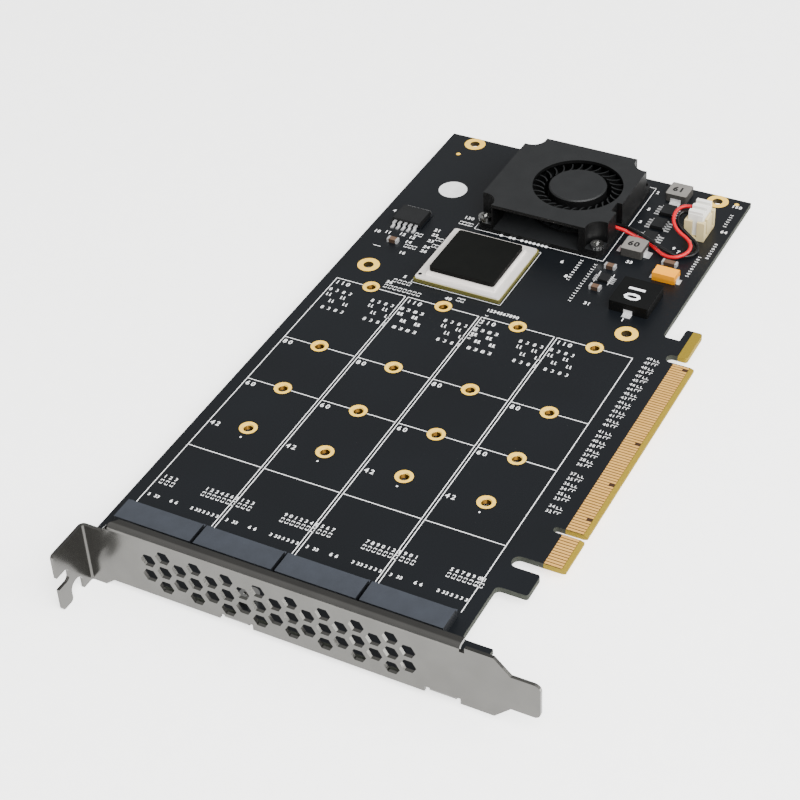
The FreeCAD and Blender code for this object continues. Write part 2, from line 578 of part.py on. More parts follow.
def make_screw(name, x, y, seat, stop, radius, head_radius, head):
    """A pan-head screw with a cross recess; its thread is left plain."""
    shank = rod(f"{name}_shank", x, y, radius, (stop, seat))
    cap = rod(f"{name}_head", x, y, head_radius, (seat, f"{seat} + {head}"))
    floor = f"{seat} + {head} - screw_recess_depth"
    top = f"{seat} + {head} + 1"
    arms = [centred(f"{name}_arm_{turned}", x, y, length, width, (floor, top))
            for turned, length, width in [
                ("a", f"screw_recess_share * {head_radius}", "screw_recess_width"),
                ("b", "screw_recess_width", f"screw_recess_share * {head_radius}")]]
    return cut(name, fuse(f"{name}_blank", [shank, cap]), arms)


def make_screws():
    keep(group("bracket_screw_pair", [
        make_screw(f"bracket_screw_{index}", FOOT_SCREW_X, y, "0", BRACKET_LOW, "screw_radius",
                   "screw_head_radius", "screw_head") for index, y in enumerate(FEET)]),
        "bracket_screws")
    keep(group("blower_screw_pair", [
        make_screw(f"blower_screw_{index}", x, y, "blower_ear", BOARD_BOTTOM,
                   "blower_hole_radius", "blower_screw_head_radius", "blower_screw_head")
        for index, (x, y) in enumerate(BLOWER_HOLES)]), "blower_screws")


def rounded_slab(name, x, y, length, width, z, radius):
    """A rectangular slab with its four upright corners rounded, as a body."""
    body = new_body(f"{name}_body")
    outline = sketch_on(body, "XY_Plane", f"{name}_outline", z[0])
    sides = [f"{x} - ({length}) / 2", f"{x} + ({length}) / 2"]
    ends = [f"{y} - ({width}) / 2", f"{y} + ({width}) / 2"]
    corners = [(sides[0], ends[0]), (sides[1], ends[0]), (sides[1], ends[1]), (sides[0], ends[1])]
    draw_outline(outline, corners)
    slab = pad(body, outline, f"{name}_slab", span(*z))
    return body, round_edges(body, slab, f"{name}_corners", corners, radius)


def make_switch_chip():
    """The packet switch: a laminate substrate, a stamped lid with a raised step, a soft pad."""
    body, _ = rounded_slab("substrate", "chip_x", "chip_y", "chip_size", "chip_size",
                           ("0", "chip_substrate"), "chip_lid_margin")
    keep(body, "switch_substrate")
    top = "chip_substrate + chip_lid"
    size = "chip_size - 2 * chip_lid_margin"
    body, _ = rounded_slab("lid", "chip_x", "chip_y", size, size, ("chip_substrate", top),
                           "chip_round")
    step = sketch_on(body, "XY_Plane", "lid_step_outline", top)
    half = "chip_step_size / 2"
    corners = [(f"chip_x - {half}", f"chip_y - {half}"), (f"chip_x + {half}", f"chip_y - {half}"),
               (f"chip_x + {half}", f"chip_y + {half}"), (f"chip_x - {half}", f"chip_y + {half}")]
    draw_outline(step, corners)
    raised = pad(body, step, "lid_step", "chip_step")
    raised.setExpression("TaperAngle", cell("0 - chip_step_taper"))
    keep(body, "switch_lid")
    body, _ = rounded_slab("thermal_pad", "chip_x", "chip_y", "pad_size", "pad_size",
                           (f"{top} + chip_step", f"{top} + chip_step + pad_thickness"),
                           "pad_round")
    keep(body, "switch_thermal_pad")


def blower_profile(name, z):
    """The blower's outline over a range of heights: square, less corner bays and a wire notch."""
    block = centred(f"{name}_block", "blower_x", "blower_y", "blower_size", "blower_size", z)
    bays = [rod(f"{name}_bay_{index}", f"blower_x + {i} * blower_notch_offset",
                f"blower_y + {j} * blower_notch_offset", "blower_notch_radius",
                (f"{z[0]} - 1", f"{z[1]} + 1"))
            for index, (i, j) in enumerate([(-1, -1), (1, -1), (1, 1), (-1, 1)])]
    edge = "blower_y - blower_size / 2"
    notch = box(f"{name}_wire_notch", ("wire_notch_x - wire_notch_width / 2",
                                       "wire_notch_x + wire_notch_width / 2"),
                (f"{edge} - 1", f"{edge} + wire_notch_depth"), (f"{z[0]} - 1", f"{z[1]} + 1"))
    return cut(f"{name}_outline", block, bays + [notch])


COVER_BASE = "blower_height - blower_cover"
TUBE_RADIUS = "shaft_radius + shaft_clearance + bearing_wall + tube_wall"
TUBE_TOP = "blower_height - hub_wall - tube_gap"


def make_blower_case():
    """Moulded tray with a round chamber, one outlet and the motor tube; flat cover with inlet."""
    plate, _ = rounded_slab("blower_plate", "blower_x", "blower_y", "blower_size", "blower_size",
                            ("0", "blower_ear"), "blower_ear_radius")
    walls = blower_profile("blower_wall", ("blower_ear", COVER_BASE))
    chamber = rod("blower_chamber", "blower_x", "blower_y", "blower_chamber_radius",
                  ("blower_floor", "blower_height"))
    outlet = box("blower_outlet", ("blower_x - blower_size / 2 - 1", "blower_x"),
                 ("blower_y - outlet_low", "blower_y + outlet_high"),
                 ("blower_floor", "blower_height"))
    holes = [rod(f"blower_hole_{index}", f"blower_x + {i} * blower_hole_offset",
                 f"blower_y + {j} * blower_hole_offset", "blower_hole_radius",
                 ("0 - 1", "blower_height"))
             for index, (i, j) in enumerate([(-1, -1), (1, -1), (1, 1), (-1, 1)])]
    tray = cut("blower_tray", fuse("blower_solid", [plate, walls]), [chamber, outlet] + holes)
    tube = cut("motor_tube", rod("tube_outside", "blower_x", ROTOR_Y, TUBE_RADIUS,
                                 ("blower_floor", TUBE_TOP)),
               [rod("tube_inside", "blower_x", ROTOR_Y, f"{TUBE_RADIUS} - tube_wall",
                    ("blower_floor", "blower_height"))])
    keep(fuse("blower_base_solid", [tray, tube]), "blower_base")
    cover = blower_profile("cover", (COVER_BASE, "blower_height"))
    inlet = rod("blower_inlet", "blower_x", ROTOR_Y, "inlet_radius", ("0", "blower_height + 1"))
    keep(cut("blower_cover_plate", cover, [inlet]), "blower_cover")


ROTOR_BASE = "blower_floor + rotor_gap"


def make_impeller():
    """Moulded rotor: a cup over the motor, a back disc and a ring of curved blades on it."""
    body = new_body("impeller_body")
    section = sketch_on(body, "XZ_Plane", "rotor_section")
    inside = "hub_radius - hub_wall"
    draw_outline(section, [
        (inside, ROTOR_BASE), ("rotor_radius", ROTOR_BASE),
        ("rotor_radius", f"{ROTOR_BASE} + rotor_disc"),
        ("hub_radius", f"{ROTOR_BASE} + rotor_disc"), ("hub_radius", "blower_height - hub_round"),
        ("hub_radius - hub_round", "blower_height"), ("0", "blower_height"),
        ("0", "blower_height - hub_wall"), (inside, "blower_height - hub_wall")])
    cup = body.newObject("PartDesign::Revolution", "rotor_cup")
    cup.Profile = section
    cup.ReferenceAxis = (section, ["V_Axis"])
    cup.Angle = 360

    blade = sketch_on(body, "XY_Plane", "blade_section", ROTOR_BASE)
    centre = Vector(number("blade_centre_out"), number("blade_centre_side"), 0)
    tips = []
    for radius in ("blade_arc_radius", "blade_arc_radius - blade_thickness"):
        reach = number(radius)
        angles = [2 * math.pi - math.acos((number(x) - centre.x) / reach)
                  for x in ("blade_root", "blade_tip")]
        arc = blade.addGeometry(Part.ArcOfCircle(
            Part.Circle(centre, Vector(0, 0, 1), reach), *angles))
        pin_point(blade, arc, 3, ("blade_centre_out", "blade_centre_side"))
        index = blade.addConstraint(Sketcher.Constraint("Radius", arc, reach))
        blade.setExpression(f"Constraints[{index}]", cell(radius))
        for point, name in ((1, "blade_root"), (2, "blade_tip")):
            index = blade.addConstraint(
                Sketcher.Constraint("DistanceX", -1, 1, arc, point, number(name)))
            blade.setExpression(f"Constraints[{index}]", cell(name))
        tips.append([centre + Vector(math.cos(angle), math.sin(angle), 0) * reach
                     for angle in angles])
    for point in (0, 1):
        line = blade.addGeometry(Part.LineSegment(tips[0][point], tips[1][point]))
        for arc, end in ((0, 1), (1, 2)):
            blade.addConstraint(Sketcher.Constraint("Coincident", line, end, arc, point + 1))
    fin = pad(body, blade, "blade", f"{COVER_BASE} - blade_gap - ({ROTOR_BASE})")
    ring = body.newObject("PartDesign::PolarPattern", "blade_ring")
    ring.Originals = [fin]
    ring.Axis = (blade, ["N_Axis"])
    ring.Angle = 360
    ring.setExpression("Occurrences", cell("blade_count"))
    body.Tip = ring
    keep(place(body, "blower_x", ROTOR_Y, "0"), "impeller")


def ring_at_rotor(name, radius, wall, z):
    """A ring about the rotor's axis, measured in from its outer radius."""
    return cut(name, rod(f"{name}_outside", "blower_x", ROTOR_Y, radius, z),
               [rod(f"{name}_inside", "blower_x", ROTOR_Y, f"{radius} - ({wall})",
                    (f"{z[0]} - 1", f"{z[1]} + 1"))])


def make_motor():
    """What turns with the impeller, and what stays on the tube inside it."""
    inside = "hub_radius - hub_wall"
    middle = "stator_start + stator_height / 2"
    keep(ring_at_rotor("magnet", inside, "magnet_thickness",
                       (f"{middle} - magnet_height / 2", f"{middle} + magnet_height / 2")),
         "impeller_magnet")
    keep(rod("shaft", "blower_x", ROTOR_Y, "shaft_radius",
             ("blower_floor + shaft_end_gap", "blower_height - hub_wall")), "impeller_shaft")
    keep(ring_at_rotor("bearing", f"{TUBE_RADIUS} - tube_wall", "bearing_wall",
                       ("blower_floor + shaft_end_gap", TUBE_TOP)), "shaft_bearing")
    keep(ring_at_rotor("driver_disc", "motor_board_radius",
                       f"motor_board_radius - ({TUBE_RADIUS}) - motor_board_gap",
                       ("blower_floor", "blower_floor + motor_board")), "motor_board")
    heights = ("stator_start", "stator_start + stator_height")
    reach = f"{inside} - magnet_thickness - stator_gap"
    disc = rod("stator_disc", "blower_x", ROTOR_Y, f"{TUBE_RADIUS} + stator_core_wall", heights)
    arms = [centred(f"stator_arm_{way}", "blower_x", ROTOR_Y, length, width, heights)
            for way, length, width in [("x", f"2 * ({reach})", "stator_arm"),
                                       ("y", "stator_arm", f"2 * ({reach})")]]
    rim = ring_at_rotor("stator_rim", reach, "stator_core_wall / 2", heights)
    gaps = [centred(f"stator_gap_{index}", f"blower_x + ({i} * {reach})",
                    f"{ROTOR_Y} + ({j} * {reach})", reach, reach, ("0", "blower_height"))
            for index, (i, j) in enumerate([(-1, -1), (1, -1), (1, 1), (-1, 1)])]
    shoes = cut("stator_shoes", rim, gaps)
    bore = rod("stator_bore", "blower_x", ROTOR_Y, TUBE_RADIUS, ("0", "blower_height"))
    keep(cut("stator", fuse("stator_blank", [disc, shoes] + arms), [bore]), "stator_core")
    windings = []
    low = f"{TUBE_RADIUS} + stator_core_wall"
    high = f"{reach} - stator_core_wall / 2 - coil_setback"
    wide, tall = "stator_arm + 2 * coil_wrap", ("stator_start - coil_wrap",
                                                "stator_start + stator_height + coil_wrap")
    for index, (i, j) in enumerate([(1, 0), (-1, 0), (0, 1), (0, -1)]):
        x, y = f"blower_x + ({i} * ({low} + {high}) / 2)", f"{ROTOR_Y} + ({j} * ({low} + {high}) / 2)"
        long_way, core_long = f"{high} - ({low})", f"{high} - ({low}) + 1"
        sizes = (long_way, wide) if i else (wide, long_way)
        core_sizes = (core_long, "stator_arm") if i else ("stator_arm", core_long)
        winding = centred(f"winding_{index}", x, y, *sizes, tall)
        core = centred(f"winding_core_{index}", x, y, *core_sizes, heights)
        windings.append(cut(f"winding_cut_{index}", winding, [core]))
    keep(group("windings", windings), "stator_coils")


# Each wire leaves the blower's notch, passes the coil on the board, turns back and climbs to the
# plug. Points in millimetres, chosen by hand.
RED_ROUTE = [(120.4, 43.7, 3.4), (120.4, 41.0, 3.4), (120.3, 37.6, 2.4), (120.5, 33.0, 1.0),
             (118.5, 29.2, 0.7), (116.1, 26.0, 0.8), (115.6, 22.4, 1.4), (118.0, 19.8, 2.1),
             (121.2, 19.6, 2.6), (123.6, 21.8, 3.2), (124.6, 25.2, 4.2), (127.0, 27.7, 5.4),
             (130.1, 28.3, 6.7), (132.5, 27.2, 7.3), (133.3, 25.2, 7.5), (133.3, 23.75, 7.5)]
BLACK_ROUTE = [(121.9, 43.7, 3.4), (121.9, 41.0, 3.4), (121.5, 37.6, 3.8), (120.4, 33.4, 3.2),
               (119.3, 29.6, 2.4), (118.3, 26.0, 1.4), (117.5, 22.5, 0.75), (118.9, 19.2, 0.7),
               (122.0, 17.9, 0.8), (125.0, 19.4, 1.4), (126.1, 22.7, 2.8), (127.3, 25.9, 4.3),
               (129.5, 27.2, 5.8), (131.1, 26.3, 6.7), (131.3, 24.9, 6.9), (131.3, 23.75, 6.9)]


def make_wire(name, route):
    """A round wire along straight runs joined by tangent arcs as wide as the runs allow."""
    points = [Vector(*spot) for spot in route]
    edges, radii, start = [], [], points[0]
    for before, corner, after in zip(points, points[1:], points[2:]):
        arriving, leaving = corner - before, after - corner
        setback = 0.45 * min(arriving.Length, leaving.Length)
        half_turn = arriving.getAngle(leaving) / 2
        radius = setback / math.tan(half_turn)
        arriving.normalize()
        leaving.normalize()
        inward = (leaving - arriving).normalize()
        middle = corner + inward * radius * (1 / math.cos(half_turn) - 1)
        stop = corner + leaving * setback
        edges.append(Part.LineSegment(start, corner - arriving * setback))
        edges.append(Part.Arc(corner - arriving * setback, middle, stop))
        radii.append(round(radius, 1))
        start = stop
    edges.append(Part.LineSegment(start, points[-1]))
    path = Part.Wire([edge.toShape() for edge in edges])
    radius = sheet.get("wire_radius")
    section = Part.Wire([Part.Circle(points[0], points[1] - points[0], radius).toShape()])
    tube = path.makePipeShell([section], True, True)
    print(name, "length", round(path.Length, 2), "mm, bend radii", radii, "mm")
    if abs(tube.Volume / (math.pi * radius ** 2 * path.Length) - 1) > 0.01:
        raise SystemExit(f"{name}: the tube's volume doesn't match its length")
    wire = doc.addObject("Part::Feature", name)
    wire.Shape = tube
    wire.Placement = FreeCAD.Placement()
    keep(wire, name)


def make_header():
    """Open shroud with two posts, soldered tabs, and the lead's plug pressed down inside it."""
    case = centred("header_block", "header_x", "header_y", "header_length", "header_width",
                   ("0", "header_height"))
    well_length = "header_length - 2 * header_wall"
    well_width = "header_width - 2 * header_wall"
    well = centred("header_well", "header_x", "header_y", well_length, well_width,
                   ("header_floor", "header_height + 1"))
    near = "header_x - header_length / 2"
    slots = [box("header_end_slot", (f"{near} - 1", f"{near} + header_wall + plug_gap"),
                 ("header_y - header_slot / 2", "header_y + header_slot / 2"),
                 ("header_slot_base", "header_height + 1"))]
    front = "header_y - header_width / 2"
    for index, side in enumerate(("- header_pin_pitch", "+ header_pin_pitch")):
        slots.append(box(f"header_side_slot_{index}",
                         (f"header_x {side} - header_side_slot / 2",
                          f"header_x {side} + header_side_slot / 2"),
                         (f"{front} - 1", f"{front} + header_wall + plug_gap"),
                         ("header_floor", "header_height + 1")))
    places = ["header_x - header_pin_pitch / 2", "header_x + header_pin_pitch / 2"]
    seats = [centred(f"header_pin_seat_{index}", x, "header_y", "header_pin", "header_pin",
                     ("0 - 1", "header_height")) for index, x in enumerate(places)]
    keep(cut("header_shroud", case, [well] + slots + seats), "fan_header")
    posts = [centred(f"header_post_{index}", x, "header_y", "header_pin", "header_pin",
                     ("0", "header_pin_top")) for index, x in enumerate(places)]
    middle = "header_length / 2 + header_tab_reach / 2"
    tabs = [centred(f"header_tab_{side}", f"header_x {sign} ({middle})", "header_y",
                    "header_tab_reach", "header_tab_width", ("0", "header_tab"))
            for side, sign in (("near", "-"), ("far", "+"))]
    keep(group("header_metal", posts + tabs), "header_pins")

    length, width = f"{well_length} - 2 * plug_gap", f"{well_width} - 2 * plug_gap"
    block = centred("plug_block", "header_x", "header_y", length, width,
                    ("header_floor", "plug_height"))
    ribs = [centred(f"plug_rib_{index}", f"header_x + {side} * (plug_rib + plug_rib_gap)",
                    "header_y", "plug_rib", width, ("plug_height", "plug_height + plug_rib_height"))
            for index, side in enumerate((-1, 0, 1))]
    sockets = [centred(f"plug_socket_{index}", x, "header_y", "header_pin + 2 * pin_clearance",
                       "header_pin + 2 * pin_clearance",
                       ("0", "header_pin_top + pin_clearance"))
               for index, x in enumerate(places)]
    keep(cut("plug_shell", fuse("plug_solid", [block] + ribs), sockets), "fan_plug")


def make_power_coil(name, x, y, length, width, height, terminal, along_x):
    """A moulded coil with a strip terminal folded under it at each end."""
    body, _ = rounded_slab(f"{name}_body", x, y, length, width, ("body_gap", height), "coil_round")
    keep(body, name)
    half = f"({length if along_x else width}) / 2"
    pieces = []
    for side, sign in (("low", "-"), ("high", "+")):
        for part, start, stop, top in [
                ("tuck", f"{half} - terminal_tuck", half, "body_gap"),
                ("riser", half, f"{half} + terminal_sheet", "terminal_rise"),
                ("land", f"{half} + terminal_sheet", f"{half} + terminal_pad", "body_gap")]:
            middle, reach = f"(({start}) + ({stop})) / 2", f"({stop}) - ({start})"
            if along_x:
                spot, sizes = (f"{x} {sign} {middle}", y), (reach, terminal)
            else:
                spot, sizes = (x, f"{y} {sign} {middle}"), (terminal, reach)
            pieces.append(centred(f"{name}_{part}_{side}", *spot, *sizes, ("0", top)))
    keep(group(f"{name}_strips", pieces), f"{name}_terminals")


def gull_lead(name, x, y, edge, sign, reach, width, foot, metal, height):
    """One bent lead along Y from a package's side: shoulder, riser and foot."""
    pieces = []
    for part, start, stop, low, high in [
            ("shoulder", "0", f"{reach} - {foot}", f"{height} / 2 - {metal} / 2",
             f"{height} / 2 + {metal} / 2"),
            ("riser", f"{reach} - {foot} - {metal}", f"{reach} - {foot}", "0", f"{height} / 2"),
            ("foot", f"{reach} - {foot}", reach, "0", metal)]:
        middle = f"{y} {sign} ({edge} + (({start}) + ({stop})) / 2)"
        pieces.append(centred(f"{name}_{part}", x, middle, width, f"({stop}) - ({start})",
                              (low, high)))
    return fuse(name, pieces)


def moulded_package(name, x, y, length, width, height):
    """A moulded package whose sides draft both ways from the lead plane."""
    body = new_body(f"{name}_body")
    parting = f"{height} / 2"
    outline = [(f"{x} - {length} / 2", f"{y} - {width} / 2"),
               (f"{x} + {length} / 2", f"{y} - {width} / 2"),
               (f"{x} + {length} / 2", f"{y} + {width} / 2"),
               (f"{x} - {length} / 2", f"{y} + {width} / 2")]
    for part, depth, down in (("upper", f"{height} - {parting}", False),
                              ("lower", f"{parting} - body_gap", True)):
        drawing = sketch_on(body, "XY_Plane", f"{name}_{part}_outline", parting)
        draw_outline(drawing, outline)
        half = pad(body, drawing, f"{name}_{part}", depth, reverse=down)
        half.setExpression("TaperAngle", cell("0 - mould_draft"))
    keep(body, name)


def make_driver(index, x):
    """An eight-lead package for one phase of the drives' supply."""
    name = f"power_driver_{index}"
    moulded_package(name, x, "switcher_y", "switcher_length", "switcher_width", "switcher_height")
    leads = [gull_lead(f"{name}_lead_{side}_{position}", f"{x} + ({position - 1.5}) * switcher_pitch",
                       "switcher_y", "switcher_width / 2", sign, "switcher_reach", "switcher_lead",
                       "lead_foot", "lead_sheet", "switcher_height")
             for side, sign in (("low", "-"), ("high", "+")) for position in range(4)]
    keep(group(f"{name}_frame", leads), f"{name}_leads")


def make_sensor():
    moulded_package("sensor_chip", "sensor_x", "sensor_y", "sensor_length", "sensor_width",
                    "sensor_height")
    leads = [gull_lead(f"sensor_lead_{side}_{position}",
                       f"sensor_x + ({position - 1.5}) * sensor_pitch", "sensor_y",
                       "sensor_width / 2", sign, "sensor_reach", "sensor_lead", "lead_foot",
                       "lead_sheet", "sensor_height")
             for side, sign in (("low", "-"), ("high", "+")) for position in range(4)]
    keep(group("sensor_frame", leads), "sensor_chip_leads")


def make_regulator():
    """Five-lead power package: leads toward the bracket, heat tab on the far side."""
    moulded_package("regulator", "regulator_x", "regulator_y", "regulator_length",
                    "regulator_width", "regulator_height")
    side = "regulator_x - regulator_length / 2"
    middle, sheet_half = "regulator_height / 2", "regulator_sheet / 2"
    pieces = []
    for position in range(5):
        y = f"regulator_y + ({position - 2}) * regulator_pitch"
        wide = (f"{y} - regulator_lead / 2", f"{y} + regulator_lead / 2")
        bend = f"{side} - regulator_reach + regulator_foot"
        steps = [box(f"regulator_shoulder_{position}", (bend, side), wide,
                     (f"{middle} - {sheet_half}", f"{middle} + {sheet_half}")),
                 box(f"regulator_riser_{position}", (bend, f"{bend} + regulator_sheet"), wide,
                     ("0", middle)),
                 box(f"regulator_foot_{position}", (f"{side} - regulator_reach", bend), wide,
                     ("0", "regulator_sheet"))]
        pieces.append(fuse(f"regulator_lead_{position}", steps))
    far = "regulator_x + regulator_length / 2"
    pieces.append(box("regulator_tab_plate", (far, f"{far} + regulator_tab"),
                      ("regulator_y - regulator_tab_width / 2",
                       "regulator_y + regulator_tab_width / 2"), ("0", middle)))
    keep(group("regulator_frame", pieces), "regulator_leads")


def make_tantalum():
    moulded_package("tantalum_capacitor", "tantalum_x", "tantalum_y", "tantalum_width",
                    "tantalum_length", "tantalum_height")
    pieces = []
    for side, sign in (("low", "-"), ("high", "+")):
        start = "tantalum_length / 2"
        for part, begin, reach, top in [
                ("tuck", f"{start} - terminal_tuck / 2", "terminal_tuck", "body_gap"),
                ("riser", f"{start} + terminal_sheet / 2", "terminal_sheet", "tantalum_waist")]:
            pieces.append(centred(f"tantalum_{part}_{side}", "tantalum_x",
                                  f"tantalum_y {sign} ({begin})", "tantalum_terminal", reach,
                                  ("0", top)))
    keep(group("tantalum_strips", pieces), "tantalum_terminals")


# Ceramic capacitors lie along Y; one of them is longer.
CERAMICS = [(f"ceramic_{letter}_x", f"ceramic_{letter}_y",
             "ceramic_long" if letter == "c" else "ceramic_length") for letter in "abcd"]


def make_ceramics():
    bodies, ends = [], []
    for index, (x, y, length) in enumerate(CERAMICS):
        bodies.append(centred(f"ceramic_{index}", x, y, "ceramic_width",
                              f"{length} - 2 * ceramic_end", ("0", "ceramic_height")))
        for side, sign in (("low", "-"), ("high", "+")):
            ends.append(centred(f"ceramic_end_{side}_{index}", x,
                                f"{y} {sign} ({length} - ceramic_end) / 2", "ceramic_width",
                                "ceramic_end", ("0", "ceramic_height")))
    keep(group("ceramic_bodies", bodies), "ceramic_capacitors")
    keep(group("ceramic_metal", ends), "ceramic_capacitor_ends")


make_board()
make_contacts()
make_eyes()
make_drive_nuts()
make_sockets()
make_bracket()
make_screws()
make_switch_chip()
make_blower_case()
make_impeller()
make_motor()
make_wire("fan_wire_red", RED_ROUTE)
make_wire("fan_wire_black", BLACK_ROUTE)
make_header()
make_power_coil("supply_coil", "coil_large_x", "coil_large_y", "coil_large_length",
                "coil_large_width", "coil_large_height", "coil_large_terminal", True)
make_power_coil("phase_coil_1", "coil_a_x", "coil_a_y", "coil_small_size", "coil_small_size",
                "coil_small_height", "coil_small_terminal", False)
make_power_coil("phase_coil_2", "coil_b_x", "coil_b_y", "coil_small_size", "coil_small_size",
                "coil_small_height", "coil_small_terminal", True)
for driver in range(3):
    make_driver(driver + 1, f"switcher_x - {driver} * switcher_step")
make_sensor()
make_regulator()
make_tantalum()
make_ceramics()
keep(rod("label_disc", "label_x", "label_y", "label_radius", ("0", "label_thickness")),
     "round_label")

doc.recompute()
failed = [thing.Name for thing in doc.Objects if {"Invalid", "Error"} & set(thing.State)]
failed += [node.Label for node in nodes if node.Shape.isNull() or not node.Shape.isValid()]
if failed:
    raise SystemExit("failed: " + ", ".join(failed))
os.makedirs("parts", exist_ok=True)
for node in nodes:
    node.Shape.exportStep(f"parts/{node.Label}.step")
    print(node.Label, "solids", len(node.Shape.Solids), "volume", round(node.Shape.Volume, 1))
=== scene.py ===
# %% [markdown]
# A circuit card that carries four solid-state drives, set out for a product shot. The solids
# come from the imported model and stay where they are. This script aims the camera, lays the two
# fan wires, lights the table, gives every solid its finish, and adds the white print, the solder
# lands and the fine threads.

import math

import bmesh
import bpy
from mathutils import Matrix, Vector


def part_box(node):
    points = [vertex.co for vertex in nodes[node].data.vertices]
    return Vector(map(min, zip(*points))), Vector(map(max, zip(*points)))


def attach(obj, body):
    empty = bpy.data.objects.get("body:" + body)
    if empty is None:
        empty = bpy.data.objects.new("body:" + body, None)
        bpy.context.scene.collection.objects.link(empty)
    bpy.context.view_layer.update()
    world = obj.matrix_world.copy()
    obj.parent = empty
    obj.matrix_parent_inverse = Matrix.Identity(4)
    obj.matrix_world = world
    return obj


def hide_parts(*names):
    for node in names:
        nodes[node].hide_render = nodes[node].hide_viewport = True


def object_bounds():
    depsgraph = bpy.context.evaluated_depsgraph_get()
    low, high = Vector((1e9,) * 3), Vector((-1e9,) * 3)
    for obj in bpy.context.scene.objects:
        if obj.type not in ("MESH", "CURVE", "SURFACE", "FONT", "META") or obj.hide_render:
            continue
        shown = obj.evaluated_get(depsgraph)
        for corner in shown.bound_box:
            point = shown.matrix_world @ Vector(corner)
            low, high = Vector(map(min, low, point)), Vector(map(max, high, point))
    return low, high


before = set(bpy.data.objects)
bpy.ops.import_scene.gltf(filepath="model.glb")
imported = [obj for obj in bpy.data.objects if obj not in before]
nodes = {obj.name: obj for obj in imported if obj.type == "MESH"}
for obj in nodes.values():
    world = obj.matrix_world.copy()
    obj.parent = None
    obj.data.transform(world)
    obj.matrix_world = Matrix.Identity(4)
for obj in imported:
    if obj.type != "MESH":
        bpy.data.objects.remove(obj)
cad_low, cad_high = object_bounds()
MM = 0.001
print("nodes", len(nodes), "box in mm", [round(side / MM, 1) for side in cad_high - cad_low])

# %% [markdown]
# A product shot uses a long lens from well back, so the card's far end isn't much smaller than
# the near end. The camera is aimed at a point on the board and turned a little about its own
# axis, which is easier to adjust than three separate angles.

# %% Camera
CAMERA_PLACE = Vector((-321.55, -132.53, 329.5)) * MM
CAMERA_AIM = Vector((28.27, 65.36, 0.0)) * MM
CAMERA_ROLL = math.radians(-3.24)
FOCAL_LENGTH, SENSOR_WIDTH = 88.77, 36.0


def put(name, data):
    """A new object that carries the data, linked into the scene."""
    thing = bpy.data.objects.new(name, data)
    bpy.context.scene.collection.objects.link(thing)
    return thing


lens = bpy.data.cameras.new("studio_lens")
lens.lens = FOCAL_LENGTH
lens.sensor_width = SENSOR_WIDTH
camera = put("studio_camera", lens)
aim = (CAMERA_AIM - CAMERA_PLACE).to_track_quat("-Z", "Y").to_matrix()
camera.matrix_world = (Matrix.Translation(CAMERA_PLACE)
                       @ (aim @ Matrix.Rotation(CAMERA_ROLL, 3, "Z")).to_4x4())
bpy.context.scene.camera = camera
print("camera", round((CAMERA_AIM - CAMERA_PLACE).length, 3), "m from the board")

# %% [markdown]
# The blower's lead is two thin stranded wires in soft PVC. A wire is one smooth curve with a round
# bevel: a NURBS spline bends evenly between its control points, as a limp wire does, and a mesh
# tube would need its own rings at every turn. The bevel is left at one metre and each point's
# radius thins it to the wire, because the curve's box grows by that radius.

# %% Fan wires
WIRE_THICKNESS = 1.1 * MM
RED_ROUTE = [(120.4, 43.7, 3.4), (120.4, 41.0, 3.4), (120.3, 37.6, 2.4), (120.5, 33.0, 1.0),
             (118.5, 29.2, 0.7), (116.1, 26.0, 0.8), (115.6, 22.4, 1.4), (118.0, 19.8, 2.1),
             (121.2, 19.6, 2.6), (123.6, 21.8, 3.2), (124.6, 25.2, 4.2), (127.0, 27.7, 5.4),
             (130.1, 28.3, 6.7), (132.5, 27.2, 7.3), (133.3, 25.2, 7.5), (133.3, 23.75, 7.5)]
BLACK_ROUTE = [(121.9, 43.7, 3.4), (121.9, 41.0, 3.4), (120.8, 37.6, 3.8), (119.7, 33.4, 3.2),
               (118.6, 29.6, 2.4), (117.7, 26.0, 1.5), (117.5, 22.5, 0.75), (118.9, 19.2, 0.7),
               (122.0, 17.9, 0.8), (125.0, 19.4, 1.4), (126.1, 22.7, 2.8), (127.3, 25.9, 4.3),
               (129.5, 27.2, 5.8), (131.1, 26.3, 6.7), (131.3, 24.9, 6.9), (131.3, 23.75, 6.9)]
# For each wire: its route in millimetres, the solid it stands for, its length in metres, its slot.
WIRES = {"red_fan_wire": (RED_ROUTE, "fan_wire_red", 0.0490, "red_insulation"),
         "black_fan_wire": (BLACK_ROUTE, "fan_wire_black", 0.0464, "black_insulation")}


def lay_wire(name, route):
    """A round wire along a NURBS line through the route's bends."""
    line = bpy.data.curves.new(name, "CURVE")
    line.dimensions = "3D"
    line.bevel_depth = 1.0
    line.bevel_resolution = 4
    line.resolution_u = 12
    spline = line.splines.new("NURBS")
    spline.points.add(len(route) - 1)
    for point, spot in zip(spline.points, route):
        point.co = (*(Vector(spot) * MM), 1.0)
        point.radius = WIRE_THICKNESS / 2
    spline.order_u = 3
    spline.use_endpoint_u = True
    wire = put(name, line)
    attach(wire, "card")
    return wire


for name, (route, node, length, slot) in WIRES.items():
    wire = lay_wire(name, route)
    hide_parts(node)
    print(name, "length in mm", round(length / MM, 1))

# %% [markdown]
# Colours are written as hex codes, as a paint chart gives them, but a shader works in linear
# light, so one function converts. A material is a tree of nodes, and a single add_node keeps each
# node to one statement. Constants go straight on the shader's own sockets.

# %% Colour, nodes and materials


def linear(code):
    """An sRGB hex colour as linear red, green, blue and alpha."""
    parts = [int(code[i:i + 2], 16) / 255 for i in (0, 2, 4)]
    return (*[p / 12.92 if p <= 0.04045 else ((p + 0.055) / 1.055) ** 2.4 for p in parts], 1.0)


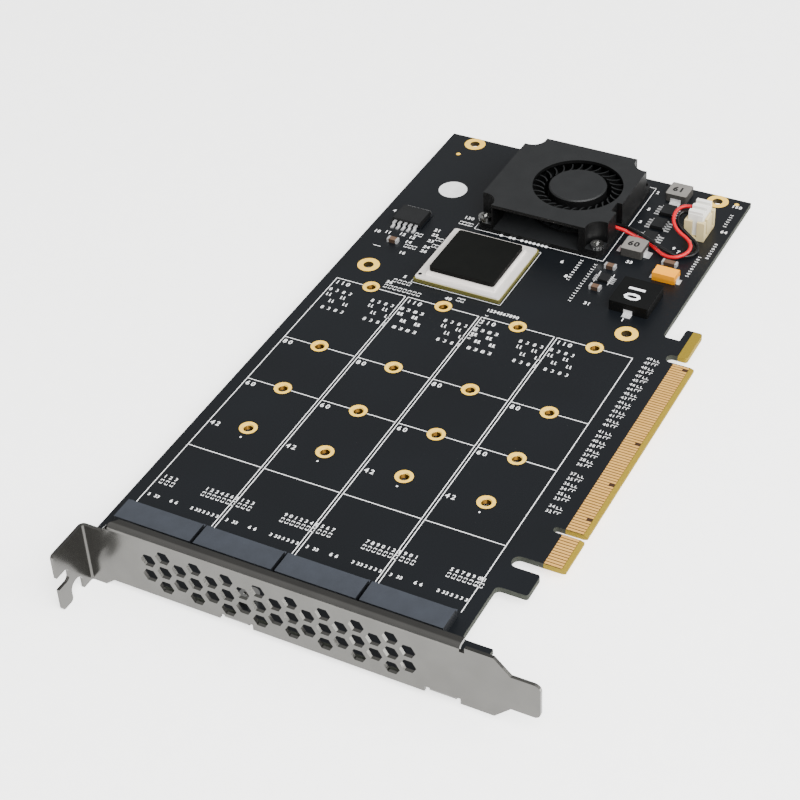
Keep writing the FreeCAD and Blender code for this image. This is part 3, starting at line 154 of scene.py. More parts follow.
def add_node(tree, kind, sockets=None, **settings):
    """Add one node, set its properties, and fill or link its input sockets by name or number."""
    made = tree.nodes.new(kind)
    for name, value in settings.items():
        setattr(made, name, value)
    for name, value in (sockets or {}).items():
        if isinstance(value, bpy.types.NodeSocket):
            tree.links.new(value, made.inputs[name])
        else:
            made.inputs[name].default_value = value
    return made


def new_material(name, roughness, metallic=0.0):
    """A material with its shader node, whose constants are set on the shader itself."""
    material = bpy.data.materials.new(name)
    material.use_nodes = True
    shader = material.node_tree.nodes["Principled BSDF"]
    shader.inputs["Roughness"].default_value = roughness
    shader.inputs["Metallic"].default_value = metallic
    return material, material.node_tree, shader


print("middle grey in linear light", round(linear("808080")[0], 3))

# %% [markdown]
# The same few nodes come back in every finish, so each has a short name of its own. Object
# coordinates are in metres along the piece's own axes, so a pattern scaled by them keeps its true
# size on large pieces and small ones.

# %% Short names for the usual nodes


def object_place(tree):
    """The shaded point, along the piece's own axes."""
    return add_node(tree, "ShaderNodeTexCoord").outputs["Object"]


def axes_of(tree, vector):
    """The X, Y and Z of a vector, as three sockets."""
    return add_node(tree, "ShaderNodeSeparateXYZ", {"Vector": vector}).outputs


def true_normal(tree):
    """The way the face itself looks, before any bump."""
    return add_node(tree, "ShaderNodeNewGeometry").outputs["True Normal"]


def compute(tree, operation, *values):
    """One sum or comparison of numbers."""
    return add_node(tree, "ShaderNodeMath", dict(enumerate(values)),
                    operation=operation).outputs[0]


def combine(tree, operation, *vectors):
    """One sum or product of vectors."""
    return add_node(tree, "ShaderNodeVectorMath", dict(enumerate(vectors)),
                    operation=operation).outputs["Vector"]


def noise(tree, place, size, detail=2.0):
    """Clouds about so many metres across."""
    return add_node(tree, "ShaderNodeTexNoise",
                    {"Vector": place, "Scale": 1 / size, "Detail": detail}).outputs["Fac"]


def blend(tree, factor, first, second):
    """A mix of two colours, each a hex code or a socket."""
    first, second = (linear(end) if isinstance(end, str) else end for end in (first, second))
    return add_node(tree, "ShaderNodeMix", {"Factor": factor, 6: first, 7: second},
                    data_type="RGBA").outputs[2]


def bump(tree, height, strength, depth):
    """A normal tilted by a pattern that is so many metres deep."""
    return add_node(tree, "ShaderNodeBump", {"Height": height, "Strength": strength,
                                             "Distance": depth}).outputs["Normal"]


print("short names", [tool.__name__ for tool in (object_place, axes_of, true_normal, compute,
                                                 combine, noise, blend, bump)])

# %% [markdown]
# The studio is a pale table lit through from below, so that the background is even and nearly
# white. Under the card the table's light fades out: a painted shadow of the card, or it would
# show through every hole.

# %% Table
TABLE_GLOW = 1.9
TABLE_SIZE, TABLE_DROP = 3.0, 0.2 * MM
TABLE_MIDDLE = (0.05, 0.05)
FIBRE_SIZE = 10 / 3 * MM
SHADE_INSET = Vector((10.0, 14.0)) * MM
SHADE_EDGE = 6 * MM

floor_paint, tree, shader = new_material("floor_paper", 0.9)
place = object_place(tree)
tint = blend(tree, noise(tree, place, FIBRE_SIZE), "f4f4f2", "fbfbfa")
tree.links.new(tint, shader.inputs["Base Color"])
tree.links.new(tint, shader.inputs["Emission Color"])

board_low, board_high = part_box("circuit_board")
# The table's light is painted out under the card, inset from its edges: a painted shadow.
shade_low, shade_high = board_low.xy + SHADE_INSET, board_high.xy
centred = combine(tree, "SUBTRACT", place, (*((shade_low + shade_high) / 2), 0.0))
past = axes_of(tree, combine(tree, "SUBTRACT", combine(tree, "ABSOLUTE", centred),
                             (*((shade_high - shade_low) / 2), 0.0)))
glow_and_painted_shadow = add_node(tree, "ShaderNodeMapRange",
                {"Value": compute(tree, "MAXIMUM", past["X"], past["Y"]),
                 "From Min": -SHADE_EDGE, "From Max": 0.0, "To Min": 0.0, "To Max": TABLE_GLOW},
                interpolation_type="SMOOTHSTEP")
tree.links.new(glow_and_painted_shadow.outputs["Result"], shader.inputs["Emission Strength"])

sheet = bmesh.new()
bmesh.ops.create_grid(sheet, x_segments=2, y_segments=2, size=TABLE_SIZE)
bmesh.ops.translate(sheet, verts=sheet.verts, vec=(*TABLE_MIDDLE, cad_low.z - TABLE_DROP))
floor_mesh = bpy.data.meshes.new("studio_floor")
sheet.to_mesh(floor_mesh)
sheet.free()
floor_mesh.materials.append(floor_paint)
floor = put("studio_floor", floor_mesh)
print("table", 2 * TABLE_SIZE, "m wide,", round(TABLE_DROP / MM, 2), "mm under the card")

# %% [markdown]
# Two softboxes model the shapes, and a bright sky fills evenly. Black products are shot against a
# flag: a dark card that hangs where their flat tops would mirror the light. The sky dims toward
# that card, so the board stays black, and the bracket's upright face, which mirrors the table,
# stays bright. The flag's limits are cosines of the angle from its middle.

# %% Softboxes, sky and flag
# For each softbox: its name, its place and its side in metres, and its power in watts.
SOFTBOXES = [("key_softbox", (-0.55, -0.55, 0.9), 0.9, 36.0),
             ("side_softbox", (0.2, -0.9, 0.6), 0.6, 10.0)]
SKY_GLOW, FLAG_GLOW = 0.8, 0.38
FLAG_WAY = (0.67, 0.38, 0.63)
FLAG_RIM, FLAG_CORE = 0.88, 0.975

for name, spot, size, power in SOFTBOXES:
    lamp = bpy.data.lights.new(name, "AREA")
    lamp.size = size
    lamp.energy = power
    light = put(name, lamp)
    light.location = spot
    light.rotation_euler = (CAMERA_AIM - Vector(spot)).to_track_quat("-Z", "Y").to_euler()

sky = bpy.data.worlds.new("studio_sky")
bpy.context.scene.world = sky
sky.use_nodes = True
tree = sky.node_tree
direction = add_node(tree, "ShaderNodeTexCoord").outputs["Generated"]
toward = add_node(tree, "ShaderNodeVectorMath", {0: direction, 1: FLAG_WAY},
                  operation="DOT_PRODUCT")
fade = add_node(tree, "ShaderNodeMapRange", {"Value": toward.outputs["Value"],
                                             "From Min": FLAG_RIM, "From Max": FLAG_CORE,
                                             "To Min": SKY_GLOW, "To Max": FLAG_GLOW})
tree.nodes["Background"].inputs["Color"].default_value = linear("ffffff")
tree.links.new(fade.outputs["Result"], tree.nodes["Background"].inputs["Strength"])
print("lights", [name for name, *_ in SOFTBOXES])

# %% [markdown]
# The bare board is glass cloth in yellow-green resin, cut by a router. A black liquid solder mask
# covers both faces, except in a window round the edge contacts. One material does all three: the
# face's own direction tells flat faces from routed edges, and the height up the card tells the
# window, because the mask's limits are straight lines in the card's own axes.

# %% Where the board's mask ends
WINDOW_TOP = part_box("edge_contacts_top")[1].y + 0.06 * MM
BEVEL_TOP = 1.15 * MM
NEAR_TAB_END, CONTACTS_END = -16.1 * MM, 73.0 * MM
FLAT_FACE = 0.98
MASK_ROUGHNESS, EDGE_ROUGHNESS = 0.36, 0.9

board, tree, shader = new_material("black_solder_mask_on_glass_laminate", MASK_ROUGHNESS)
shader.inputs["Specular IOR Level"].default_value = 0.3
place = object_place(tree)
axes = axes_of(tree, place)
flat = compute(tree, "ABSOLUTE", axes_of(tree, true_normal(tree))["Z"])
on_face = compute(tree, "GREATER_THAN", flat, FLAT_FACE)
above_window = compute(tree, "GREATER_THAN", axes["Y"], WINDOW_TOP)
on_near_tab = compute(tree, "LESS_THAN", axes["X"], NEAR_TAB_END)
covered = compute(tree, "MAXIMUM", above_window, on_near_tab)
uncovered = compute(tree, "SUBTRACT", 1.0, covered)
masked = compute(tree, "MULTIPLY", covered, on_face)
past_bevel = compute(tree, "GREATER_THAN", axes["Y"], BEVEL_TOP)
by_contacts = compute(tree, "LESS_THAN", axes["X"], CONTACTS_END)
between = compute(tree, "MULTIPLY", compute(tree, "MULTIPLY", past_bevel, by_contacts), on_face)
print("contact window up to", round(WINDOW_TOP / MM, 2), "mm")

# %% [markdown]
# Copper pours under the mask show as slow patches, a few centimetres across. On a cut edge the
# bundles of glass are half a millimetre apart. Between the contacts the laminate lies on a dark
# inner layer, so it looks brown there.

# %% The board's tones
POUR_SIZE, BUNDLE_SIZE, SKIN_SIZE = 35 * MM, 0.5 * MM, 0.4 * MM

cloth = noise(tree, place, BUNDLE_SIZE)
mask_tone = blend(tree, noise(tree, place, POUR_SIZE), "090b0e", "101317")
edge_tone = blend(tree, cloth, "20221e", "34372f")
bevel_tone = blend(tree, cloth, "6f5c0a", "87721e")
bare_tone = blend(tree, between, bevel_tone, "33200f")
cut_tone = blend(tree, uncovered, edge_tone, bare_tone)
tree.links.new(blend(tree, masked, cut_tone, mask_tone), shader.inputs["Base Color"])
roughness = add_node(tree, "ShaderNodeMapRange", {"Value": masked, "To Min": EDGE_ROUGHNESS,
                                                  "To Max": MASK_ROUGHNESS})
tree.links.new(roughness.outputs["Result"], shader.inputs["Roughness"])
tree.links.new(bump(tree, noise(tree, place, SKIN_SIZE), 0.05, 0.02 * MM),
               shader.inputs["Normal"])
nodes["circuit_board"].data.materials.clear()
nodes["circuit_board"].data.materials.append(board)
print("board material nodes", len(tree.nodes))

# %% [markdown]
# Moulded parts share one build: a base colour that varies a little with the flow of the plastic,
# and the fine sparked texture of the mould, which breaks the highlight up. The grain is given in
# millimetres: about 0.3 mm, a little coarser than the real one, so it shows from a step away.
# Each finish also darkens its walls by a share of its own: painted shade. The sky here is bright
# all round, where a real set has dark cards beside the product that keep its sides deep.

# %% Moulded and ceramic finishes
FLOW_SIZE, MOULD_DEPTH = 4 * MM, 0.03 * MM


def paint_shade_on_walls(tree, tone, wall_shade):
    """The tone as it is on faces that look up, and darker on the others by the share given:
    painted shade.
    """
    up = axes_of(tree, true_normal(tree))["Z"]
    share = add_node(tree, "ShaderNodeMapRange", {"Value": up, "To Min": wall_shade, "To Max": 1.0})
    return combine(tree, "MULTIPLY", tone, share.outputs["Result"])


def moulded(name, dark, light, roughness, grain=0.3, relief=0.25, wall_shade=0.35, shine=0.3):
    """A moulded surface: two close tones, walls darker than tops by painted shade, and a fine
    grain.
    """
    material, tree, shader = new_material(name, roughness)
    shader.inputs["Specular IOR Level"].default_value = shine
    place = object_place(tree)
    tone = blend(tree, noise(tree, place, FLOW_SIZE, 3.0), dark, light)
    tree.links.new(paint_shade_on_walls(tree, tone, wall_shade), shader.inputs["Base Color"])
    tree.links.new(bump(tree, noise(tree, place, grain * MM), relief, MOULD_DEPTH),
                   shader.inputs["Normal"])
    return material


finishes = {
    "socket": moulded("liquid_crystal_polymer_socket", "2b2e34", "363a41", 0.5, wall_shade=0.2),
    "blower": moulded("glass_filled_black_polyester", "161718", "1f2021", 0.5, wall_shade=0.08,
                      shine=0.25),
    "pad": moulded("black_silicone_thermal_pad", "050605", "0b0c0a", 0.7, 0.6, shine=0.12),
    "header": moulded("ivory_nylon_header", "c4b07c", "d8c898", 0.45, wall_shade=0.7),
    "plug": moulded("white_nylon_plug", "e8e6dd", "fbfaf4", 0.4, wall_shade=0.7),
    "epoxy": moulded("black_moulding_epoxy", "0e0f10", "18191a", 0.55),
    "choke": moulded("pressed_iron_powder_grey", "6a6764", "7f7c77", 0.7, 0.25, 0.5, 0.15),
    "choke_black": moulded("pressed_iron_powder_black", "040505", "090a0a", 0.6, 0.25, 0.5,
                           shine=0.15),
    "tantalum": moulded("yellow_tantalum_epoxy", "ff9a00", "ffb004", 0.45, wall_shade=0.5),
    "ceramic": moulded("brown_capacitor_ceramic", "4c3a30", "66503f", 0.5),
    "motor_board": moulded("green_solder_mask", "16382a", "205239", 0.4),
    "magnet": moulded("sintered_ferrite", "1a1a1a", "252525", 0.7),
    "paper": moulded("coated_label_paper", "d2d2d2", "ffffff", 0.6, 1.2, 0.6),
    "print": moulded("white_screen_print_ink", "f0f0f0", "ffffff", 0.6, 0.2, 0.3),
    "dark_print": moulded("dark_print_ink", "0e0e0e", "181818", 0.6, 0.2, 0.3),
    "red_pvc": moulded("red_pvc_insulation", "b00818", "d61424", 0.35, wall_shade=0.7),
    "black_pvc": moulded("black_pvc_insulation", "060607", "0e0e0f", 0.35),
}
print("moulded finishes", len(finishes))

# %% [markdown]
# The chip's own small board is pressed from layers, and its cut edge shows them as level bands.
# At a scale of one, a wave texture's bands lie a tenth of pi apart, which gives the scale for any
# other height.

# %% Layered laminate under the chip
LAYER_HEIGHT = 0.45 * MM

finishes["substrate"], tree, shader = new_material("olive_chip_laminate", 0.5)
layers = add_node(tree, "ShaderNodeTexWave",
                  {"Vector": object_place(tree), "Scale": math.pi / 10 / LAYER_HEIGHT},
                  bands_direction="Z")
tree.links.new(blend(tree, layers.outputs["Fac"], "0c0d04", "6a6426"),
               shader.inputs["Base Color"])
print("laminate layers", round(LAYER_HEIGHT / MM, 2), "mm apart")

# %% [markdown]
# Metals keep the default IOR: their colour and roughness say what they are. Tin is bright and a
# little uneven where it was dipped, gold plating is thin and warm, and stamped steel has the faint
# long grain of the rolling mill under its nickel. A flat gold face mirrors only the dark flag, and
# as pure metal it would look brown. So gold, tin and the lid are part metal and part diffuse,
# which keeps them light from every side.

# %% Metal finishes
CLOUD_SIZE, SCRATCH_DEPTH = 6 * MM, 0.02 * MM
GRAIN_ALONG_Y, GRAIN_LEVEL = (1.0, 0.04, 1.0), (0.05, 0.05, 1.0)


def plated(name, dark, light, roughness, grain, stretch=(1.0, 1.0, 1.0), relief=0.1, metal=1.0,
           wall_shade=1.0):
    """A metal with a slow change of tone, painted shade on its walls, and a grain that may be
    drawn out along an axis.
    """
    material, tree, shader = new_material(name, roughness, metal)
    place = object_place(tree)
    tone = blend(tree, noise(tree, place, CLOUD_SIZE), dark, light)
    drawn = add_node(tree, "ShaderNodeMapping", {"Vector": place, "Scale": stretch})
    scratch = noise(tree, drawn.outputs["Vector"], grain * MM)
    tree.links.new(paint_shade_on_walls(tree, tone, wall_shade), shader.inputs["Base Color"])
    tree.links.new(bump(tree, scratch, relief, SCRATCH_DEPTH), shader.inputs["Normal"])
    return material


finishes.update({
    "gold": plated("hard_gold_plating", "e3a94e", "f5c06a", 0.5, 0.5, metal=0.5),
    # The gold rings' bores and sides take painted shade that makes them nearly black.
    "ring_gold": plated("immersion_gold", "ffc438", "ffda62", 0.5, 0.5, metal=0.1, wall_shade=0.03),
    # The thread is brass painted dark brown: painted shade of the deep bore.
    "thread": plated("brass_thread_painted_bore_shade", "33220b", "523a14", 0.35, 0.3),
    "tin": plated("dipped_tin", "cccccc", "f2f2f2", 0.32, 0.3, relief=0.4, metal=0.7),
    # The steel's upright faces are darkened by painted shade.
    "steel": plated("nickel_plated_rolled_steel", "636260", "71706d", 0.2, 0.4, GRAIN_ALONG_Y,
                    wall_shade=0.62),
    "screw": plated("nickel_plated_screw", "9c9c9a", "c4c4c2", 0.2, 0.3),
    "lid": plated("satin_nickel_lid", "ece5df", "fbf6f1", 0.4, 0.25, relief=0.2, metal=0.45),
    "shaft": plated("ground_steel_shaft", "a8a8a8", "cacaca", 0.2, 0.2),
    "bearing": plated("sintered_bronze", "8a6434", "a67c45", 0.5, 0.2, relief=0.4),
    "stator": plated("silicon_steel_laminations", "6f7072", "8b8c8e", 0.45, 0.35, GRAIN_LEVEL,
                     0.5),
    "copper": plated("enamelled_copper_wire", "a04a20", "c9692f", 0.3, 0.2, GRAIN_LEVEL, 0.6),
})
print("finishes in all", len(finishes))

# %% [markdown]
# The punch shears the vents and leaves bare cut edges, lighter than the rolled face. Only the
# sills, which look up to the light, are made brighter: partly bare steel, partly painted
# highlight.
# The steel finds the sills by three tests: the face looks up, it lies within the plate's
# thickness, and it is as high as the vents are.

# %% Sills in the bracket's vents: bare steel with a painted highlight
PLATE_FRONT, PLATE_BACK = -58.4 * MM, -57.3 * MM
VENT_LEVEL, VENT_REACH = 6.2 * MM, 7.5 * MM
SILL_SLOPE = 0.3

tree = finishes["steel"].node_tree
colour = tree.nodes["Principled BSDF"].inputs["Base Color"]
rolled_tone = colour.links[0].from_socket
axes = axes_of(tree, object_place(tree))
looks_up = compute(tree, "GREATER_THAN", axes_of(tree, true_normal(tree))["Z"], SILL_SLOPE)
in_plate = compute(tree, "COMPARE", axes["X"], (PLATE_FRONT + PLATE_BACK) / 2,
                   (PLATE_BACK - PLATE_FRONT) / 2)
at_vents = compute(tree, "COMPARE", axes["Z"], VENT_LEVEL, VENT_REACH)
bare_sills_with_painted_highlight = compute(tree, "MULTIPLY", compute(tree, "MULTIPLY", looks_up, in_plate), at_vents)
# The sills get a lighter tone: bare cut steel with a painted highlight.
tree.links.new(blend(tree, bare_sills_with_painted_highlight, rolled_tone, "82817d"), colour)
print("sills from", round((VENT_LEVEL - VENT_REACH) / MM, 1), "to",
      round((VENT_LEVEL + VENT_REACH) / MM, 1), "mm")

# %% [markdown]
# Each node of the solid model takes the finish of what it is made of. The list is read like a
# bill of materials, and the end prints any node that was forgotten.

# %% Dress the solid nodes
DRESS = {
    "gold": ["edge_contacts_top", "edge_contacts_bottom"],
    "ring_gold": ["mounting_eyes", "drive_screw_nuts"],
    "socket": [f"drive_socket_{i}" for i in range(1, 5)],
    "tin": [f"drive_socket_tails_{i}" for i in range(1, 5)]
           + [f"power_driver_{i}_leads" for i in range(1, 4)]
           + ["header_pins", "supply_coil_terminals", "phase_coil_1_terminals",
              "phase_coil_2_terminals", "sensor_chip_leads", "regulator_leads",
              "tantalum_terminals", "ceramic_capacitor_ends"],
    "steel": ["mounting_bracket"],
    "screw": ["bracket_screws", "blower_screws"],
    "substrate": ["switch_substrate"],
    "lid": ["switch_lid"],
    "pad": ["switch_thermal_pad"],
    "blower": ["blower_base", "blower_cover", "impeller"],
    "magnet": ["impeller_magnet"],
    "shaft": ["impeller_shaft"],
    "bearing": ["shaft_bearing"],
    "stator": ["stator_core"],
    "copper": ["stator_coils"],
    "motor_board": ["motor_board"],
    "red_pvc": ["fan_wire_red"],
    "black_pvc": ["fan_wire_black"],
    "header": ["fan_header"],
    "plug": ["fan_plug"],
    "choke_black": ["supply_coil"],
    "choke": ["phase_coil_1", "phase_coil_2"],
    "epoxy": [f"power_driver_{i}" for i in range(1, 4)] + ["sensor_chip", "regulator"],
    "tantalum": ["tantalum_capacitor"],
    "ceramic": ["ceramic_capacitors"],
    "paper": ["round_label"],
}
dressed = {"circuit_board"}
for finish, members in DRESS.items():
    for name in members:
        nodes[name].data.materials.clear()
        nodes[name].data.materials.append(finishes[finish])
        dressed.add(name)
for wire, finish in (("red_fan_wire", "red_pvc"), ("black_fan_wire", "black_pvc")):
    bpy.data.objects[wire].data.materials.append(finishes[finish])
print("nodes left bare", sorted(set(nodes) - dressed))

# %% [markdown]
# The print is white ink, about 0.02 mm thick, that lies on the mask. It is modelled as thin raised
# strips, because a strip keeps a sharp edge at any distance. The marks of one part of the board
# are gathered in one mesh, which then becomes a single piece that rides on the card.

# %% Tools for the print
PRINT_HEIGHT = 0.02 * MM


def strip(ink, start, stop, width):
    """A thin raised bar between two points of the board's face."""
    start, stop = Vector(start), Vector(stop)
    along = stop - start
    turn = Matrix.Rotation(math.atan2(along.y, along.x), 4, "Z")
    middle = (start + stop) / 2
    size = Matrix.Diagonal((along.length, width, PRINT_HEIGHT, 1.0))
    spot = Matrix.Translation((middle.x, middle.y, PRINT_HEIGHT / 2))
    bmesh.ops.create_cube(ink, size=1.0, matrix=spot @ turn @ size)


def outline(ink, low, high, width):
    """A printed rectangle between two corners."""
    corners = [low, Vector((low.x, high.y)), high, Vector((high.x, low.y))]
    for start, stop in zip(corners, corners[1:] + corners[:1]):
        strip(ink, start, stop, width)


def dot(ink, x, y, radius, height=PRINT_HEIGHT):
    """A small printed disc."""
    bmesh.ops.create_cone(ink, cap_ends=True, segments=16, radius1=radius, radius2=radius,
                          depth=height, matrix=Matrix.Translation((x, y, height / 2)))


def make_piece(name, shape, finish, slot):
    """Turn a bmesh into a piece that rides on the card."""
    mesh = bpy.data.meshes.new(name)
    shape.to_mesh(mesh)
    shape.free()
    mesh.materials.append(finishes[finish])
    piece = put(name, mesh)
    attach(piece, "card")
    print(name, "faces", len(mesh.polygons))
    return piece


print("print tools", [tool.__name__ for tool in (strip, outline, dot, make_piece)])

# %% [markdown]
# Frames show where each drive lies: one rectangle per socket, crossed where the shorter drives
# end. A crossing stops short of the nut's ring, and a small dot lies in front of each nearest nut.

# %% Printed drive frames
DRIVE_WIDTH = 22.0 * MM
SOCKET_X = -40.3 * MM
DRIVE_LENGTHS = {"42": 42.0, "60": 60.0, "80": 80.0, "110": 110.0}
ROWS = [(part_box(f"drive_socket_{i}")[0].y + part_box(f"drive_socket_{i}")[1].y) / 2
        for i in range(1, 5)]
RING_RADIUS = 2.55 * MM
LINE_WIDTH = 0.22 * MM
FRAME_NEAR, FRAME_FAR = SOCKET_X + 5.4 * MM, SOCKET_X + 110 * MM
FIRST_CROSSING, DOT_X = SOCKET_X + 30 * MM, SOCKET_X + 38.1 * MM

ink = bmesh.new()
for row in ROWS:
    for side in (-DRIVE_WIDTH / 2, DRIVE_WIDTH / 2):
        strip(ink, (FRAME_NEAR, row + side), (FRAME_FAR, row + side), LINE_WIDTH)
    for name in ("60", "80", "110"):
        x = SOCKET_X + DRIVE_LENGTHS[name] * MM
        for side in (-1, 1):
            strip(ink, (x, row + side * RING_RADIUS), (x, row + side * DRIVE_WIDTH / 2),
                  LINE_WIDTH)
    strip(ink, (FIRST_CROSSING, row - DRIVE_WIDTH / 2), (FIRST_CROSSING, row + DRIVE_WIDTH / 2),
          LINE_WIDTH)
    dot(ink, DOT_X, row, 0.28 * MM)
make_piece("printed_drive_frames", ink, "print", "label_paper")

# %% [markdown]
# The numbers give the drive's length in millimetres beside each nut. A text curve is the simplest
# source for a numeral: it is filled, made a mesh and set down on the board, so that the finished
# piece is plain geometry. A numeral stands 0.7 of its text size high.

# %% Printed numerals
DIGIT_SHARE = 0.7
LENGTH_SETBACK, LENGTH_INSET = 2.5 * MM, 0.6 * MM


def numeral(ink, text, x, y, height, turn=-90.0, z=0.0, spread=1.15, weight=0.035):
    """Plain raised numerals whose first foot stands at x, y."""
    words = bpy.data.curves.new("numeral", "FONT")
    words.body = text
    words.size = height / DIGIT_SHARE
    words.space_character = spread
    words.extrude = PRINT_HEIGHT / 2
    words.offset = weight * height
    words.resolution_u = 2
    holder = put("numeral", words)
    bpy.context.view_layer.update()
    mesh = bpy.data.meshes.new_from_object(holder)
    mesh.transform(Matrix.Translation((x, y, z + PRINT_HEIGHT / 2))
                   @ Matrix.Rotation(math.radians(turn), 4, "Z"))
    ink.from_mesh(mesh)
    bpy.data.objects.remove(holder)
    bpy.data.meshes.remove(mesh)
    bpy.data.curves.remove(words)


ink = bmesh.new()
for row in ROWS:
    for text, length in DRIVE_LENGTHS.items():
        numeral(ink, text, SOCKET_X + length * MM - LENGTH_SETBACK,
                row + DRIVE_WIDTH / 2 - LENGTH_INSET, 1.6 * MM, spread=1.45, weight=0.02)
make_piece("printed_drive_lengths", ink, "print", "label_paper")

# %% [markdown]
# Hundreds of small marks surround the places of tiny parts: a pair of short bars where a chip
# capacitor would lie, with a number beside it. They come in rows, so a loop sets out each row from
# its first place and its pitch. The last drive has room for fewer of them.

# %% Printed part marks by the sockets
PLACE_GAP, PLACE_WIDTH = 0.7 * MM, 0.75 * MM
BRACKET_BACK, BRACKET_ARM = 0.2 * MM, 0.16 * MM
ARM_REACH = 0.35
THREES_AT = (1.0, 2.9, 3.7, 13.6, 15.0, 15.9, 17.1, 18.4, 19.7, 21.0)
SIXES_AT = (7.5, 9.0)
TAIL_MARKS_X = -31.2 * MM


def part_place(ink, x, y, width=PLACE_WIDTH):
    """The two bracket marks of an empty chip position, open toward each other along X."""
    for side in (-1, 1):
        edge = x + side * PLACE_GAP
        strip(ink, (edge, y - width / 2), (edge, y + width / 2), BRACKET_BACK)
        for end in (-1, 1):
            strip(ink, (edge, y + end * width / 2),
                  (x + side * PLACE_GAP * ARM_REACH, y + end * width / 2), BRACKET_ARM)


def part_row(ink, x, y, count, pitch, number):
    """A row of chip positions along -Y, each with a numeral on its far side."""
    for index in range(count):
        spot = y - index * pitch
        part_place(ink, x, spot)
        numeral(ink, str((number + index) % 10), x + 1.45 * MM, spot + 0.45 * MM, 1.15 * MM,
                weight=0.02)


ink = bmesh.new()
for index, row in enumerate(ROWS):
    top = row + DRIVE_WIDTH / 2
    drop, count = (24.1, 3) if index < 3 else (21.6, 1)
    if index == 0:
        part_row(ink, -25.4 * MM, top - 1.6 * MM, 3, 1.6 * MM, 31)
    part_row(ink, -25.0 * MM, top - 13.8 * MM, 7, 1.45 * MM, 11 + 8 * index)
    part_row(ink, -24.9 * MM, top - drop * MM, count, 1.5 * MM, 51 + 4 * index)
    for offset in THREES_AT:
        numeral(ink, "3", TAIL_MARKS_X, top - offset * MM, 1.0 * MM)
    for offset in SIXES_AT:
        numeral(ink, "6", TAIL_MARKS_X, top - offset * MM, 1.1 * MM)
make_piece("printed_marks_by_sockets", ink, "print", "label_paper")

# %% [markdown]
# By the farthest nuts the marks stand in three clusters to a drive: two columns of numbers with
# footed strokes between them. The fourth drive has none.

# %% Printed marks by the far nuts
CLUSTERS_AT = (0.9, 14.3, 23.5)
NUMBER_STEP = 2.1
STROKES_AT = ((61.9, 0.2), (61.9, 4.7), (59.3, 2.4), (59.3, 6.8))
STROKE_LENGTH, STROKE_GAP, STROKE_FOOT = 1.25 * MM, 0.95 * MM, 0.4 * MM


def stroke_pair(ink, x, y):
    """Two short strokes side by side, each with a foot."""
    low, high = x - STROKE_LENGTH / 2, x + STROKE_LENGTH / 2
    for side in (0.0, STROKE_GAP):
        strip(ink, (low, y - side), (high, y - side), 0.28 * MM)
        strip(ink, (low, y - side), (low, y - side - STROKE_FOOT), 0.24 * MM)


ink = bmesh.new()
for row in ROWS[:3]:
    for start in CLUSTERS_AT:
        y = row + DRIVE_WIDTH / 2 - start * MM
        for step, digit in enumerate("8383"):
            for x, shift in ((63.6, -0.4), (55.2, 1.5)):
                numeral(ink, digit, x * MM, y - (NUMBER_STEP * step + shift) * MM, 1.3 * MM,
                        weight=0.01)
        for x, offset in STROKES_AT:
            stroke_pair(ink, x * MM, y - offset * MM)
make_piece("printed_marks_by_far_nuts", ink, "print", "label_paper")

# %% [markdown]
# A line of paired marks follows the contact edge: each pair is two numbers over four small hooks,
# and the pairs come in runs, four millimetres apart.

# %% Printed marks by the contacts
RUNS = ((6.3, 1), (11.3, 3), (25.3, 4), (42.3, 8))
PAIR_PITCH = 4.0
HOOK_ROWS, HOOK_HALF = (10.6, 9.6), 0.32
HOOK_IN, HOOK_OUT = 0.45, 1.3

ink = bmesh.new()
pairs = [start + PAIR_PITCH * step for start, count in RUNS for step in range(count)]
for index, x in enumerate(pairs):
    for side in (-1, 1):
        numeral(ink, str(33 + index + side), (x + side - 0.5) * MM, 13.1 * MM, 1.05 * MM,
                weight=0.0)
        inner, outer = (x + HOOK_IN * side) * MM, (x + HOOK_OUT * side) * MM
        for y in HOOK_ROWS:
            low, high = (y - HOOK_HALF) * MM, (y + HOOK_HALF) * MM
            strip(ink, (inner, low), (inner, high), BRACKET_ARM)
            strip(ink, (inner, high), (outer, high), BRACKET_ARM)
make_piece("printed_marks_by_contacts", ink, "print", "label_paper")

# %% [markdown]
# Round the chips the marks follow no grid. First come the frames of the blower and of the large
# chip, the raised solder test points along the blower's frame, and a few plain bars.

# %% Frames and bars round the chips
CHIP_MARGIN = Vector((0.45, 0.45)) * MM
BLOWER_MARGIN_LOW, BLOWER_MARGIN_HIGH = Vector((0.4, 0.9)) * MM, Vector((1.2, 0.5)) * MM
TEST_POINTS_AT = (73.2, 70.3, 69.1, 66.6, 65.2, 64.0, 62.7, 61.4, 60.1, 58.9)
BARS = [((101, 96.1), (109, 96.1)), ((97.7, 39.8), (103.1, 39.8)),
        ((97.7, 35.6), (103.1, 35.6)), ((88.5, 103.0), (88.5, 105.4))]

blower_low, blower_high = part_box("blower_base")
chip_low, chip_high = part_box("switch_substrate")
frame_low = blower_low.xy - BLOWER_MARGIN_LOW
ink = bmesh.new()
outline(ink, frame_low, blower_high.xy + BLOWER_MARGIN_HIGH, 0.15 * MM)
outline(ink, chip_low.xy - CHIP_MARGIN, chip_high.xy + CHIP_MARGIN, 0.13 * MM)
for y in TEST_POINTS_AT:
    dot(ink, frame_low.x - 0.1 * MM, y * MM, 0.5 * MM, 0.15 * MM)
# The first bar is laid twice. Doubled faces shade each other, so it shows dark instead of white.
strip(ink, (101 * MM, 96.1 * MM), (109 * MM, 96.1 * MM), 0.2 * MM)
for low, high in BARS:
    strip(ink, Vector(low) * MM, Vector(high) * MM, 0.2 * MM)
print("test points", len(TEST_POINTS_AT), "bars", len(BARS))

# %% [markdown]
# Then come the loose numbers, the brackets of small unfitted parts, and short rows of figures. The
# rows are turned to read from the far side, and alternate two figures so that they don't run
# together into a line.

